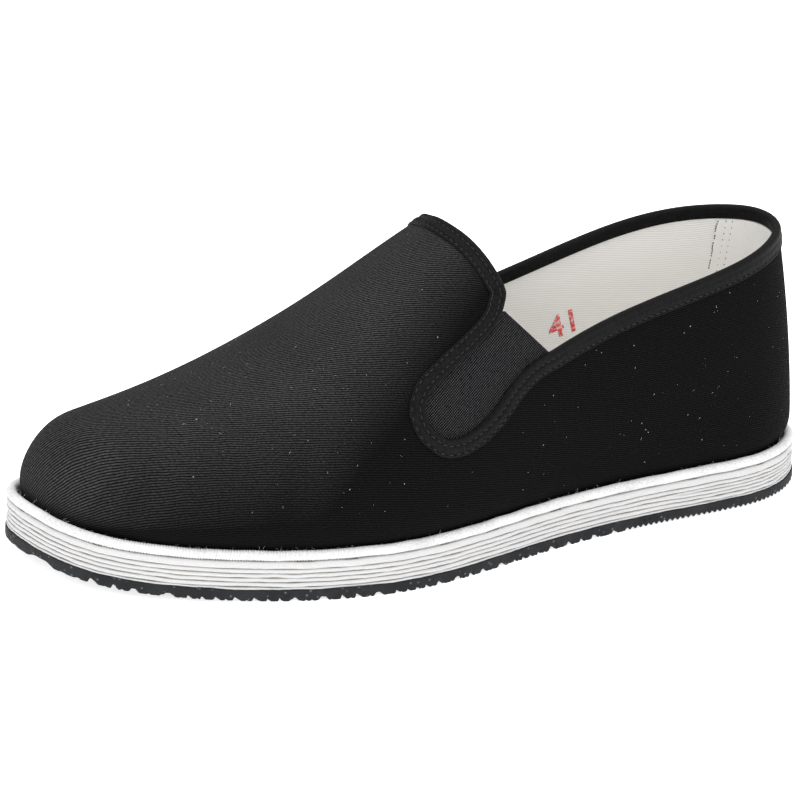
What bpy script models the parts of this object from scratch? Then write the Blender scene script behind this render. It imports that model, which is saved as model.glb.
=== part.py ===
"""Chinese cloth shoe, left foot.

A black twill slip-on with elastic gores at both sides, bound with black tape, stands on a midsole
of stacked white cloth layers with a whipped white cord round its rim, and on a rubber outsole.

The toe points along -X, the outer side of the foot is at -Y, +Z is up and the tread stands on
z = 0. All sizes are in millimetres and become metres when a mesh is made.
"""
from collections import namedtuple

import bmesh
import bpy
import numpy as np

MM = 0.001
GAP = 0.3                 # clearance between neighbouring pieces

# Every loop round the shoe has this many points, so that neighbouring pieces stay parallel
LOOP_POINTS = 72
DENSE_POINTS = 576        # for reading the feather line's width

# Sole stack, from the ground up
TREAD_DEPTH = 1.2
OUTSOLE_TOP = 3.9
LAYER_COUNT = 5
LAYER_PITCH = 1.85
LAYER_TRIM = 0.4          # the cloth layers are cut back this much from the rubber's edge
CORD_RADIUS = 1.7
CORD_INSET = 1.9          # from the sole's edge to the cord's centre
TOE_SPRING = 5.0
TOE_SPRING_STATIONS = (-60.0, -75.0, -88.0, -100.0, -111.0, -121.0, -130.0, -140.0)

# Tread: grooves run across the sole, one at each pitch
TREAD_INSET = 0.7
TREAD_OVERLAP = 0.5       # the lugs reach this far up into the outsole's sheet
GROOVE_LENGTH = 130.0     # of the groove's cutter, which runs past both edges of the sole
Tread = namedtuple("Tread", "start end pitch groove")
TREADS = (
    Tread(start=-128.0, end=52.0, pitch=7.2, groove=2.6),
    Tread(start=60.0, end=134.0, pitch=4.6, groove=1.7),
)

# Upper
FEATHER_INSET = 5.1       # from the sole's edge to the upper's lower edge
UPPER_WALL = 1.6
WELT_ROWS = (0.0, 3.0, 7.0, 12.0)       # rows of the wall where it turns up from the welt
UPPER_ROWS = 10           # rows from there to the edge
ROW_CROWDING = 1.35       # those nearer the sole lie closer together
TOE_ROUND_LENGTH = 24.0   # the ridge line rounds down over this length at the toe
TOE_ROUND_POWER = 2.6
BULGE_FORE = 4.7          # how far the upper swells out over the welt, at the toe and at the heel
BULGE_HEEL = 3.4
BULGE_RISE = 5.0          # height over which it swells
BULGE_CHANGE = (-20.0, 60.0)
TOE_TUCK = 0.80           # share of that swell which the very tip of the toe goes without
TOE_TUCK_REACH = (-137.0, -110.0)
HEEL_SHAPING = (30.0, 100.0)
HEEL_LEAN = 8.8           # the back of the heel leans forward this much at collar height
HEEL_LEAN_POWER = 1.6
HEEL_FLARE = 3.9          # the quarters open out sideways this much at collar height
COLLAR_HEIGHT = 75.0
HEART = (44.0, 3.0)       # the upper's columns run up and in towards this vertical line
CROWN_REACH = 100.0
TILT_STEPS = 90

# Edge binding, a folded tape over the upper's edge
BINDING_DEPTH = 5.0
BINDING_TAPE = 0.55
BINDING_SLACK = 0.3
BINDING_ROUND = 0.35      # how far the fold's corners are cut back
BINDING_SHOULDER = 0.1    # the fold starts this far below the upper's edge

# Gore slots, seen from the side: a slanted slot with a round lower end
SLOT_END = (-10.0, 56.0)
SLOT_SLANT = 35.0
SLOT_LENGTH = 60.0
SLOT_WIDTH = 20.6
SLOT_REACH = 80.0         # of the slot's cutter, from the middle of the shoe out past either side
SLOT_BINDING = 5.6        # width of the tape round the slot
SLOT_TAPE = (0.35, 0.8)   # its inner and outer faces, measured out from the cloth
GORE_RECESS = 0.45
GORE_WALL = 0.9

# Inside
INSOLE_THICKNESS = 1.5
STAY_ROWS = (6.2, 18.0, 34.0, 52.0)     # distances below the collar
STAY_COLUMNS = 6                        # columns either side of the back seam
STAY_WALL = 0.8

# The sole's outline, from the heel back round the outer side to the toe and home
OutlinePoint = namedtuple("OutlinePoint", "x y")
SOLE_OUTLINE = (
    OutlinePoint(x=138.0, y=2.5),
    OutlinePoint(x=122.0, y=-18.5),
    OutlinePoint(x=96.0, y=-25.5),
    OutlinePoint(x=37.0, y=-34.5),
    OutlinePoint(x=-28.0, y=-52.0),
    OutlinePoint(x=-83.0, y=-42.5),
    OutlinePoint(x=-124.5, y=-20.5),
    OutlinePoint(x=-137.5, y=8.0),
    OutlinePoint(x=-134.5, y=34.0),
    OutlinePoint(x=-94.0, y=49.0),
    OutlinePoint(x=-48.0, y=52.0),
    OutlinePoint(x=37.0, y=38.0),
    OutlinePoint(x=96.0, y=34.5),
    OutlinePoint(x=122.5, y=25.0),
)

# Cross sections of the last: the ridge's height over the feather line, and how square the section
# is at its sides and at its crown (2 is an ellipse, more is squarer)
Section = namedtuple("Section", "x ridge side crown")
SECTIONS = (
    Section(x=-118.0, ridge=32.6, side=2.26, crown=2.16),
    Section(x=-80.0, ridge=44.9, side=2.12, crown=2.02),
    Section(x=-40.0, ridge=65.3, side=2.04, crown=1.90),
    Section(x=0.0, ridge=90.4, side=2.02, crown=1.90),
    Section(x=45.0, ridge=107.0, side=2.16, crown=2.60),
    Section(x=138.0, ridge=122.0, side=2.57, crown=3.20),
)

# The collar's height along the quarters, from the gore's rear corner to the back of the heel
CollarPoint = namedtuple("CollarPoint", "x z")
COLLAR = (
    CollarPoint(x=28.0, z=68.8),
    CollarPoint(x=51.0, z=76.0),
    CollarPoint(x=89.0, z=85.5),
    CollarPoint(x=115.5, z=91.2),
    CollarPoint(x=129.0, z=93.5),
)
HEM_SLOPE = 0.95          # the gore's top hem climbs this steeply from there to the throat's corner
COLLAR_DROP_OUTER = 2.2   # how far the cloth's edge lies below that line on the outer side
COLLAR_DROP_INNER = 1.0   # and on the inner side
COLLAR_DROP_TURN = 12.0   # it changes over this distance either side of the shoe's middle
COLLAR_DROP_START = (8.0, 28.0)         # the drop sets in between these two places

# The throat seen from above: its middle, and how far back its sides lie at this half width
THROAT_MIDDLE = 1.0
THROAT_SWEEP = 11.6
THROAT_HALF_WIDTH = 30.0

Finish = namedtuple("Finish", "colour roughness")
FINISHES = {
    "rubber": Finish(colour=(0.040, 0.042, 0.045), roughness=0.72),
    "white_cloth": Finish(colour=(0.83, 0.83, 0.82), roughness=0.93),
    "black_cloth": Finish(colour=(0.010, 0.010, 0.011), roughness=0.90),
    "black_tape": Finish(colour=(0.014, 0.014, 0.015), roughness=0.68),
    "black_elastic": Finish(colour=(0.018, 0.018, 0.019), roughness=0.85),
    "lining_cloth": Finish(colour=(0.74, 0.72, 0.68), roughness=0.95),
}


def smooth_loop(points, count):
    """Closed cubic spline through plan points, with knots spaced by the root of the chord."""
    points = np.array(points, float)
    size = len(points)
    step = np.linalg.norm(np.roll(points, -1, 0) - points, axis=1) ** 0.5
    knots = np.concatenate([[0.0], np.cumsum(step)])
    matrix = np.zeros((size, size))
    target = np.zeros(points.shape)
    for i in range(size):
        before, after, following = step[i - 1], step[i], (i + 1) % size
        matrix[i, i - 1] += before
        matrix[i, i] += 2 * (before + after)
        matrix[i, following] += after
        rise_after = (points[following] - points[i]) / after
        rise_before = (points[i] - points[i - 1]) / before
        target[i] = 6 * (rise_after - rise_before)
    bend = np.linalg.solve(matrix, target)
    where = np.linspace(0, knots[-1], count, endpoint=False)
    i = np.clip(np.searchsorted(knots, where, side="right") - 1, 0, size - 1)
    j = (i + 1) % size
    span = step[i][:, None]
    left = (knots[i + 1] - where)[:, None]
    right = (where - knots[i])[:, None]
    return ((bend[i] * left**3 + bend[j] * right**3) / (6 * span)
            + (points[i] / span - bend[i] * span / 6) * left
            + (points[j] / span - bend[j] * span / 6) * right)


def smooth_table(xs, ys):
    """Natural cubic spline through a table, straight beyond its ends."""
    xs, ys = np.array(xs, float), np.array(ys, float)
    size = len(xs)
    step = np.diff(xs)
    matrix, target = np.eye(size), np.zeros(size)
    for i in range(1, size - 1):
        matrix[i, i - 1:i + 2] = step[i - 1], 2 * (step[i - 1] + step[i]), step[i]
        target[i] = 6 * ((ys[i + 1] - ys[i]) / step[i] - (ys[i] - ys[i - 1]) / step[i - 1])
    bend = np.linalg.solve(matrix, target)
    first_slope = (ys[1] - ys[0]) / step[0] - step[0] * bend[1] / 6
    last_slope = (ys[-1] - ys[-2]) / step[-1] + step[-1] * bend[-2] / 6

    def value(x):
        x = np.asarray(x, float)
        inside = np.clip(x, xs[0], xs[-1])
        i = np.clip(np.searchsorted(xs, inside, side="right") - 1, 0, size - 2)
        span, left, right = step[i], xs[i + 1] - inside, inside - xs[i]
        curve = ((bend[i] * left**3 + bend[i + 1] * right**3) / (6 * span)
                 + (ys[i] / span - bend[i] * span / 6) * left
                 + (ys[i + 1] / span - bend[i + 1] * span / 6) * right)
        return curve + first_slope * np.minimum(x - xs[0], 0) + last_slope * np.maximum(x - xs[-1], 0)

    return value


def ease(value, start, end):
    """0 before start, 1 after end, and smooth between them."""
    t = np.clip((value - start) / (end - start), 0, 1)
    return t * t * (3 - 2 * t)


def column(table, name):
    return [getattr(row, name) for row in table]


def loop_normals(loop):
    """Outward plan normals of a loop that runs clockwise seen from above."""
    along = np.roll(loop, -1, 0) - np.roll(loop, 1, 0)
    along /= np.linalg.norm(along, axis=1)[:, None]
    return np.stack([-along[:, 1], along[:, 0]], 1)


def sole_loop(inset, count=LOOP_POINTS):
    """The sole's outline moved in by an inset."""
    loop = smooth_loop(SOLE_OUTLINE, count)
    return loop - inset * loop_normals(loop)


def toe_rise(x):
    """How far the sole is bent up at x: a parabola, straight between its stations."""
    stations = np.array(TOE_SPRING_STATIONS)
    start, end = stations[0], stations[-1]
    heights = TOE_SPRING * ((stations - start) / (end - start)) ** 2
    return np.interp(x, stations[::-1], heights[::-1])


def layer_bottom(number):
    return OUTSOLE_TOP + GAP + number * LAYER_PITCH


STACK_TOP = layer_bottom(LAYER_COUNT) - GAP
UPPER_BASE = STACK_TOP + GAP


def feather_sides(x):
    """Where the feather line lies at x on the outer and on the inner side of the foot."""
    loop = sole_loop(FEATHER_INSET, DENSE_POINTS)
    toe, heel = np.argmin(loop[:, 0]), np.argmax(loop[:, 0])
    loop, toe = np.roll(loop, -heel, 0), (toe - heel) % DENSE_POINTS
    outer = loop[:toe + 1][::-1]
    inner = np.concatenate([loop[toe:], loop[:1]])
    return np.interp(x, outer[:, 0], outer[:, 1]), np.interp(x, inner[:, 0], inner[:, 1])


def ridge_height(x, toe_end):
    """Height of the last's ridge over the feather line, rounded down to it at the toe."""
    short = np.clip((toe_end + TOE_ROUND_LENGTH - x) / TOE_ROUND_LENGTH, 0, 1)
    rounding = (1 - short**TOE_ROUND_POWER) ** (1 / TOE_ROUND_POWER)
    return smooth_table(column(SECTIONS, "x"), column(SECTIONS, "ridge"))(x) * rounding


def last_fills(x, y, z):
    """Whether a point over the feather line lies inside the last's sections."""
    feather = sole_loop(FEATHER_INSET, DENSE_POINTS)
    toe_end, heel_end = feather[:, 0].min(), feather[:, 0].max()
    outer, inner = feather_sides(x)
    half = np.maximum((inner - outer) / 2, 0.001)
    ridge = np.maximum(ridge_height(x, toe_end), 0.001)
    side = smooth_table(column(SECTIONS, "x"), column(SECTIONS, "side"))(x)
    crown = smooth_table(column(SECTIONS, "x"), column(SECTIONS, "crown"))(x)
    section = (np.abs(y - (outer + inner) / 2) / half) ** side + (z / ridge) ** crown
    return (section < 1) & (x > toe_end) & (x < heel_end)


def pull_over(feather, tilt):
    """Points of the last's surface, one for each feather point and tilt of its ray."""
    run = feather - np.array(HEART)
    reach = np.linalg.norm(run, axis=1)[:, None]
    run = run / reach
    flat, climb = reach * np.cos(tilt), CROWN_REACH * np.sin(tilt)
    near, far = np.zeros(flat.shape), np.full(flat.shape, 2.2)
    for _ in range(30):
        middle = (near + far) / 2
        x = HEART[0] + middle * flat * run[:, :1]
        y = HEART[1] + middle * flat * run[:, 1:]
        filled = last_fills(x, y, middle * climb)
        near, far = np.where(filled, middle, near), np.where(filled, far, middle)
    x = HEART[0] + near * flat * run[:, :1]
    y = HEART[1] + near * flat * run[:, 1:]
    return shape_upper(x, y, near * climb, loop_normals(feather))


def shape_upper(x, y, z, outward):
    """Swell the last's surface over the welt, lean and flare it at the heel, and seat it."""
    swell = BULGE_HEEL + (BULGE_FORE - BULGE_HEEL) * (1 - ease(x, *BULGE_CHANGE))
    swell = swell * (1 - TOE_TUCK * (1 - ease(x, *TOE_TUCK_REACH)))
    swell = swell * (1 - np.exp(-(z / BULGE_RISE) ** 2))
    back = ease(x, *HEEL_SHAPING) * np.maximum(z, 0) / COLLAR_HEIGHT
    lean = HEEL_LEAN * ease(x, *HEEL_SHAPING) * (np.maximum(z, 0) / COLLAR_HEIGHT) ** HEEL_LEAN_POWER
    shaped_x = x + swell * outward[:, :1] - lean
    shaped_y = y + (swell + HEEL_FLARE * back) * outward[:, 1:]
    return np.stack([shaped_x, shaped_y, z + UPPER_BASE + toe_rise(x)], -1)


def collar_drop(x, y):
    """How far the edge lies below the collar's line: nothing at the throat, more on the outer side."""
    inner = ease(y, HEART[1] - COLLAR_DROP_TURN, HEART[1] + COLLAR_DROP_TURN)
    drop = COLLAR_DROP_OUTER + (COLLAR_DROP_INNER - COLLAR_DROP_OUTER) * inner
    return drop * ease(x, *COLLAR_DROP_START)


def shoe_is_open(points):
    """Whether points of the last's surface lie in the collar, the throat or over the gores' hems."""
    x, y, z = points[..., 0], points[..., 1], points[..., 2]
    collar = smooth_table(column(COLLAR, "x"), column(COLLAR, "z"))(x)
    corner = COLLAR[0]
    side_edge = np.where(x < corner.x, corner.z + HEM_SLOPE * (corner.x - x), collar)
    throat = THROAT_MIDDLE + THROAT_SWEEP * ((y - HEART[1]) / THROAT_HALF_WIDTH) ** 2
    return (z > side_edge - collar_drop(x, y)) & (x > throat)


def upper_lines(count=LOOP_POINTS):
    """The upper's surface as columns of close points, each from the feather line to the edge."""
    feather = sole_loop(FEATHER_INSET, count)
    steps = np.linspace(0, np.radians(88), TILT_STEPS)
    first = shoe_is_open(pull_over(feather, np.tile(steps, (count, 1)))).argmax(1)
    low, high = steps[first - 1][:, None], steps[first][:, None]
    for _ in range(20):
        middle = (low + high) / 2
        is_open = shoe_is_open(pull_over(feather, middle))
        low, high = np.where(is_open, low, middle), np.where(is_open, middle, high)
    return pull_over(feather, high * np.linspace(0, 1, TILT_STEPS))


def along_lines(lines, distances):
    """Points on each column at given distances from the feather line."""
    result = np.empty((len(lines), distances.shape[1], 3))
    for i, line in enumerate(lines):
        length = np.concatenate([[0], np.cumsum(np.linalg.norm(np.diff(line, axis=0), axis=1))])
        for axis in range(3):
            result[i, :, axis] = np.interp(distances[i], length, line[:, axis])
    return result


def line_lengths(lines):
    return np.linalg.norm(np.diff(lines, axis=1), axis=2).sum(1)


def row_distances(lengths):
    """How far up each column the wall's rows lie: close together over the welt, then spread."""
    spread = np.linspace(0, 1, UPPER_ROWS + 1)[1:] ** ROW_CROWDING
    last = WELT_ROWS[-1]
    upper = last + (lengths[:, None] - last) * spread
    return np.concatenate([np.tile(WELT_ROWS, (len(lengths), 1)), upper], 1)


def surface_normals(grid, closed):
    """Outward unit normals of a grid of columns round the shoe and rows up it."""
    if closed:
        around = np.roll(grid, -1, 0) - np.roll(grid, 1, 0)
    else:
        around = np.gradient(grid, axis=0)
    normals = np.cross(np.gradient(grid, axis=1), around)
    return normals / np.linalg.norm(normals, axis=2)[..., None]


def clear_scene():
    for item in list(bpy.data.objects):
        bpy.data.objects.remove(item, do_unlink=True)


def new_collection(name):
    collection = bpy.data.collections.new(name)
    bpy.context.scene.collection.children.link(collection)
    return collection


def make_material(name, finish):
    material = bpy.data.materials.new(name)
    material.use_nodes = True
    shader = material.node_tree.nodes["Principled BSDF"]
    shader.inputs["Base Color"].default_value = (*finish.colour, 1.0)
    shader.inputs["Roughness"].default_value = finish.roughness
    shader.inputs["Metallic"].default_value = 0.0
    return material


def add_object(name, data, collection, material=None):
    item = bpy.data.objects.new(name, data)
    collection.objects.link(item)
    if material:
        data.materials.append(material)
    return item


def mesh_from(name, vertices, faces):
    """A mesh from millimetre points."""
    mesh = bpy.data.meshes.new(name)
    mesh.from_pydata([tuple(point) for point in np.asarray(vertices) * MM], [], faces)
    mesh.validate()
    return mesh


def grid_mesh(name, grid, closed):
    """A sheet of faces through a grid of columns and rows, facing out."""
    columns, rows = grid.shape[:2]
    faces = []
    for i in range(columns if closed else columns - 1):
        after = (i + 1) % columns
        for j in range(rows - 1):
            faces.append((i * rows + j, i * rows + j + 1, after * rows + j + 1, after * rows + j))
    return mesh_from(name, grid.reshape(-1, 3), faces)


def thicken(item, thickness):
    """Give a sheet its wall, inwards."""
    wall = item.modifiers.new("wall", "SOLIDIFY")
    wall.thickness = thickness * MM
    wall.offset = -1.0
    wall.use_even_offset = True
    return item


def boolean(item, other, operation):
    cut = item.modifiers.new(operation.lower(), "BOOLEAN")
    cut.operation = operation
    cut.object = other
    cut.solver = "EXACT"


def slab_mesh(name, loop, bottom, top):
    """A flat plate from a plan outline."""
    mesh = bpy.data.meshes.new(name)
    work = bmesh.new()
    ring = [work.verts.new((x * MM, y * MM, bottom * MM)) for x, y in loop]
    face = work.faces.new(ring)
    lifted = bmesh.ops.extrude_face_region(work, geom=[face])["geom"]
    raised = [part for part in lifted if isinstance(part, bmesh.types.BMVert)]
    bmesh.ops.translate(work, verts=raised, vec=(0, 0, (top - bottom) * MM))
    bmesh.ops.recalc_face_normals(work, faces=work.faces)
    work.to_mesh(mesh)
    work.free()
    return mesh


def bend_toe(mesh):
    """Cut a plate across at the toe's stations and raise it between them, so faces stay flat."""
    work = bmesh.new()
    work.from_mesh(mesh)
    for station in TOE_SPRING_STATIONS:
        geometry = work.verts[:] + work.edges[:] + work.faces[:]
        bmesh.ops.bisect_plane(work, geom=geometry, plane_co=(station * MM, 0, 0), plane_no=(1, 0, 0))
    for vertex in work.verts:
        vertex.co.z += toe_rise(vertex.co.x / MM) * MM
    work.to_mesh(mesh)
    work.free()


def shade_smooth(item, angle=35.0):
    item.data.shade_smooth()
    item.data.set_sharp_from_angle(angle=np.radians(angle))


def build_outsole(parts, cutters, material):
    """A rubber sheet with lugs under it, cut apart by the tread's grooves."""
    sheet = add_object("outsole", slab_mesh("outsole", sole_loop(0.0), TREAD_DEPTH, OUTSOLE_TOP),
                       parts, material)
    lug_top = TREAD_DEPTH + TREAD_OVERLAP
    lugs = slab_mesh("tread_lugs", sole_loop(TREAD_INSET), 0.0, lug_top)
    bend_toe(sheet.data)
    bend_toe(lugs)
    lugs = add_cutter("tread_lugs", lugs, cutters)
    boolean(lugs, add_cutter("tread_grooves", groove_mesh(), cutters), "DIFFERENCE")
    boolean(sheet, lugs, "UNION")
    return sheet


def groove_mesh():
    """One box for each groove of the tread, all in one mesh."""
    work = bmesh.new()
    height = TREAD_DEPTH + TREAD_OVERLAP + TOE_SPRING
    for tread in TREADS:
        for x in np.arange(tread.start, tread.end, tread.pitch):
            box = bmesh.ops.create_cube(work, size=1.0)["verts"]
            size = (tread.groove * MM, GROOVE_LENGTH * MM, 3 * height * MM)
            bmesh.ops.scale(work, verts=box, vec=size)
            bmesh.ops.translate(work, verts=box, vec=(x * MM, 0, 0))
    mesh = bpy.data.meshes.new("tread_grooves")
    work.to_mesh(mesh)
    work.free()
    return mesh


def add_cutter(name, mesh, cutters):
    cutter = add_object(name, mesh, cutters)
    cutter.hide_render = True
    cutter.display_type = "WIRE"
    return cutter


def build_layers(parts, material):
    for number in range(LAYER_COUNT):
        name = f"sole_layer_{number + 1}"
        bottom = layer_bottom(number)
        mesh = slab_mesh(name, sole_loop(LAYER_TRIM), bottom, bottom + LAYER_PITCH - GAP)
        bend_toe(mesh)
        add_object(name, mesh, parts, material)


def build_insole(parts, material):
    inset = FEATHER_INSET + UPPER_WALL + 2 * GAP
    mesh = slab_mesh("insole", sole_loop(inset), UPPER_BASE, UPPER_BASE + INSOLE_THICKNESS)
    bend_toe(mesh)
    add_object("insole", mesh, parts, material)


def build_cord(parts, material):
    """The whipped cord, a round tube along the midsole's rim."""
    curve = bpy.data.curves.new("welt_cord", "CURVE")
    curve.dimensions = "3D"
    curve.bevel_depth = CORD_RADIUS * MM
    curve.bevel_resolution = 2
    loop = sole_loop(CORD_INSET)
    spline = curve.splines.new("POLY")
    spline.points.add(len(loop) - 1)
    for point, (x, y) in zip(spline.points, loop):
        z = STACK_TOP + GAP + CORD_RADIUS + toe_rise(x)
        point.co = (x * MM, y * MM, z * MM, 1.0)
    spline.use_cyclic_u = True
    add_object("welt_cord", curve, parts, material)


def slot_prism(name, width, near, far, cutters):
    """A gore slot's outline in side view, drawn through the shoe from one y to another."""
    slant = np.radians(SLOT_SLANT)
    along = np.array([np.cos(slant), np.sin(slant)])
    across = np.array([-along[1], along[0]])
    end = np.array(SLOT_END)
    turn = np.radians(np.linspace(90, 270, 13))
    rim = [end + width / 2 * (np.cos(a) * along + np.sin(a) * across) for a in turn]
    top = end + SLOT_LENGTH * along
    rim += [top - width / 2 * across, top + width / 2 * across]
    count = len(rim)
    vertices = [(x, near, z) for x, z in rim] + [(x, far, z) for x, z in rim]
    faces = [tuple(range(count)), tuple(reversed(range(count, 2 * count)))]
    faces += [(i, i + count, (i + 1) % count + count, (i + 1) % count) for i in range(count)]
    mesh = mesh_from(name, vertices, faces)
    work = bmesh.new()
    work.from_mesh(mesh)
    bmesh.ops.recalc_face_normals(work, faces=work.faces)
    work.to_mesh(mesh)
    work.free()
    return add_cutter(name, mesh, cutters)


def build_upper(parts, grid, slot, material):
    """One hollow shell, open at the collar, the throat, both gore slots and underneath."""
    upper = add_object("upper", grid_mesh("upper", grid, closed=True), parts, material)
    thicken(upper, UPPER_WALL)
    boolean(upper, slot, "DIFFERENCE")
    shade_smooth(upper)
    return upper


def build_gores(parts, cutters, grid, normals, material):
    """An elastic panel in each slot, a thinner wall set back from the upper's face."""
    for name, near, far in (("gore_lateral", -SLOT_REACH, 0.0), ("gore_medial", 0.0, SLOT_REACH)):
        sheet = grid_mesh(name, grid - GORE_RECESS * normals, closed=True)
        gore = thicken(add_object(name, sheet, parts, material), GORE_WALL)
        window = slot_prism(name + "_window", SLOT_WIDTH - 2 * GAP, near, far, cutters)
        boolean(gore, window, "INTERSECT")
        shade_smooth(gore)


def binding_profile():
    """The folded tape's cross section: distance down from the edge, distance out from the cloth."""
    outside = BINDING_SLACK
    inside = -UPPER_WALL - BINDING_SLACK
    return (
        (BINDING_DEPTH, outside), (BINDING_DEPTH, outside + BINDING_TAPE),
        (BINDING_SHOULDER, outside + BINDING_TAPE), (-GAP - BINDING_TAPE, outside - BINDING_ROUND),
        (-GAP - BINDING_TAPE, inside + BINDING_ROUND), (BINDING_SHOULDER, inside - BINDING_TAPE),
        (BINDING_DEPTH, inside - BINDING_TAPE), (BINDING_DEPTH, inside),
        (-GAP, inside), (-GAP, outside),
    )


def build_binding(parts, cutters, lines, grid, normals, slot, material):
    """Black tape folded over the edge of throat and collar, and a flat tape round each slot."""
    lengths = line_lengths(lines)[:, None]
    band = along_lines(lines, lengths - np.array([[BINDING_DEPTH, 0.0]]))
    foot, edge = band[:, 0], band[:, 1]
    down = (foot - edge) / np.linalg.norm(foot - edge, axis=1)[:, None]
    out = surface_normals(band, closed=True)
    profile = binding_profile()
    rings = np.stack([edge + d * down + o * out[:, 1] for d, o in profile], 1)
    columns, size = rings.shape[:2]
    faces = []
    for i in range(columns):
        for j in range(size):
            a, b = i * size + j, i * size + (j + 1) % size
            c, d = (i + 1) % columns * size + (j + 1) % size, (i + 1) % columns * size + j
            faces.append((a, b, c, d))
    binding = add_object("edge_binding", mesh_from("edge_binding", rings.reshape(-1, 3), faces),
                         parts, material)
    boolean(binding, slot, "DIFFERENCE")
    inner, outer = SLOT_TAPE
    tape = add_cutter("slot_tape", grid_mesh("slot_tape", grid + outer * normals, closed=True), cutters)
    thicken(tape, outer - inner)
    ring = slot_prism("slot_tape_outline", SLOT_WIDTH + 2 * SLOT_BINDING, -SLOT_REACH, SLOT_REACH,
                      cutters)
    boolean(tape, ring, "INTERSECT")
    boolean(tape, slot, "DIFFERENCE")
    boolean(binding, tape, "UNION")
    shade_smooth(binding)


def build_heel_stay(parts, lines, material):
    """A patch of lining cloth inside the back of the heel."""
    lengths = line_lengths(lines)[:, None]
    grid = along_lines(lines, lengths - np.array([STAY_ROWS[::-1]]))
    grid = np.roll(grid, STAY_COLUMNS, 0)[:2 * STAY_COLUMNS + 1]
    inside = grid - (UPPER_WALL + GAP) * surface_normals(grid, closed=False)
    stay = add_object("heel_stay", grid_mesh("heel_stay", inside, closed=False), parts, material)
    thicken(stay, STAY_WALL)
    shade_smooth(stay)


def main():
    clear_scene()
    parts = new_collection("chinese_cloth_shoe")
    cutters = new_collection("cutters")
    finish = {name: make_material(name, value) for name, value in FINISHES.items()}

    build_outsole(parts, cutters, finish["rubber"])
    build_layers(parts, finish["white_cloth"])
    build_insole(parts, finish["lining_cloth"])
    build_cord(parts, finish["white_cloth"])

    lines = upper_lines()
    grid = along_lines(lines, row_distances(line_lengths(lines)))
    normals = surface_normals(grid, closed=True)
    slot = slot_prism("gore_slot", SLOT_WIDTH, -SLOT_REACH, SLOT_REACH, cutters)
    build_upper(parts, grid, slot, finish["black_cloth"])
    build_gores(parts, cutters, grid, normals, finish["black_elastic"])
    build_binding(parts, cutters, lines, grid, normals, slot, finish["black_tape"])
    build_heel_stay(parts, lines, finish["lining_cloth"])


main()
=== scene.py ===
"""Looks of the Chinese cloth shoe, left foot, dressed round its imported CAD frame.

The toe points along -X, the outer side of the foot is at -Y and +Z is up. Sizes are in millimetres
and become metres when a mesh is made. Each piece repeats the surfaces of the solid that it stands
for, with many more points, and adds its sewing, weave and wear.
"""

from collections import namedtuple
from functools import lru_cache

import bmesh
import bpy
import numpy as np
from mathutils import Matrix, Vector
from mathutils.bvhtree import BVHTree


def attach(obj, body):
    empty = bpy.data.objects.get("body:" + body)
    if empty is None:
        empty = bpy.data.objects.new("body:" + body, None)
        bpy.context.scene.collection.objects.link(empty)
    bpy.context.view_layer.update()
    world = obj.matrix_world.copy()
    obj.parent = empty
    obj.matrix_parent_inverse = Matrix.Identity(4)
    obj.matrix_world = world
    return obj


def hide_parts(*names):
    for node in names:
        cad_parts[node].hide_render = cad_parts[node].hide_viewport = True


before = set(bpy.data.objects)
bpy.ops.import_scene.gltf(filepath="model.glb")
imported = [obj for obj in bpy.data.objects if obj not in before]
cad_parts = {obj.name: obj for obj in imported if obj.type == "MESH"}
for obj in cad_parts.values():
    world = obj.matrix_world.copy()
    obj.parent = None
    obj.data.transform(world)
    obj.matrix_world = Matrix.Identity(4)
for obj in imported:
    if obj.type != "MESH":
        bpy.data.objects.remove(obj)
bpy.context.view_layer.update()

MM = 0.001

# Camera, as it stood to the shoe in the photo
IMAGE_PIXELS = 800
AZIMUTH, ELEVATION, ROLL = np.radians((26.250944, 20.540274, 2.134308))
DISTANCE = 2352.2
PIXELS_PER_MM = 3.045972
AIM_ACROSS, AIM_UP = -9.155186, 43.268398

# Sizes shared with the solids
SURFACE_COLUMNS = 360
SURFACE_STEPS = 130
DENSE_POINTS = 4096
OUTSOLE_TOP = 3.9
STACK_TOP = 13.15
GAP = 0.3
UPPER_BASE = STACK_TOP + GAP
CORD_RADIUS = 1.7
CORD_INSET = 1.9
TOE_SPRING = 5.0
TOE_SPRING_START, TOE_SPRING_END = -60.0, -140.0
FEATHER_INSET = 5.1
UPPER_WALL = 1.6
TOE_ROUND_LENGTH = 24.0
TOE_ROUND_POWER = 2.6
BULGE_FORE, BULGE_HEEL, BULGE_RISE = 4.7, 3.4, 5.0
BULGE_CHANGE = (-20.0, 60.0)
TOE_TUCK, TOE_TUCK_REACH = 0.80, (-137.0, -110.0)
HEEL_SHAPING = (30.0, 100.0)
HEEL_LEAN, HEEL_LEAN_POWER = 8.8, 1.6
HEEL_FLARE = 3.9
COLLAR_HEIGHT = 75.0
HEART = (44.0, 3.0)
CROWN_REACH = 100.0
HEM_SLOPE = 0.95
COLLAR_DROP_OUTER, COLLAR_DROP_INNER = 2.2, 1.0
COLLAR_DROP_TURN, COLLAR_DROP_START = 12.0, (8.0, 28.0)
THROAT_MIDDLE, THROAT_SWEEP, THROAT_HALF_WIDTH = 1.0, 11.6, 30.0
SPINE_ENDS = (-88.0, 104.0)

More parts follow.
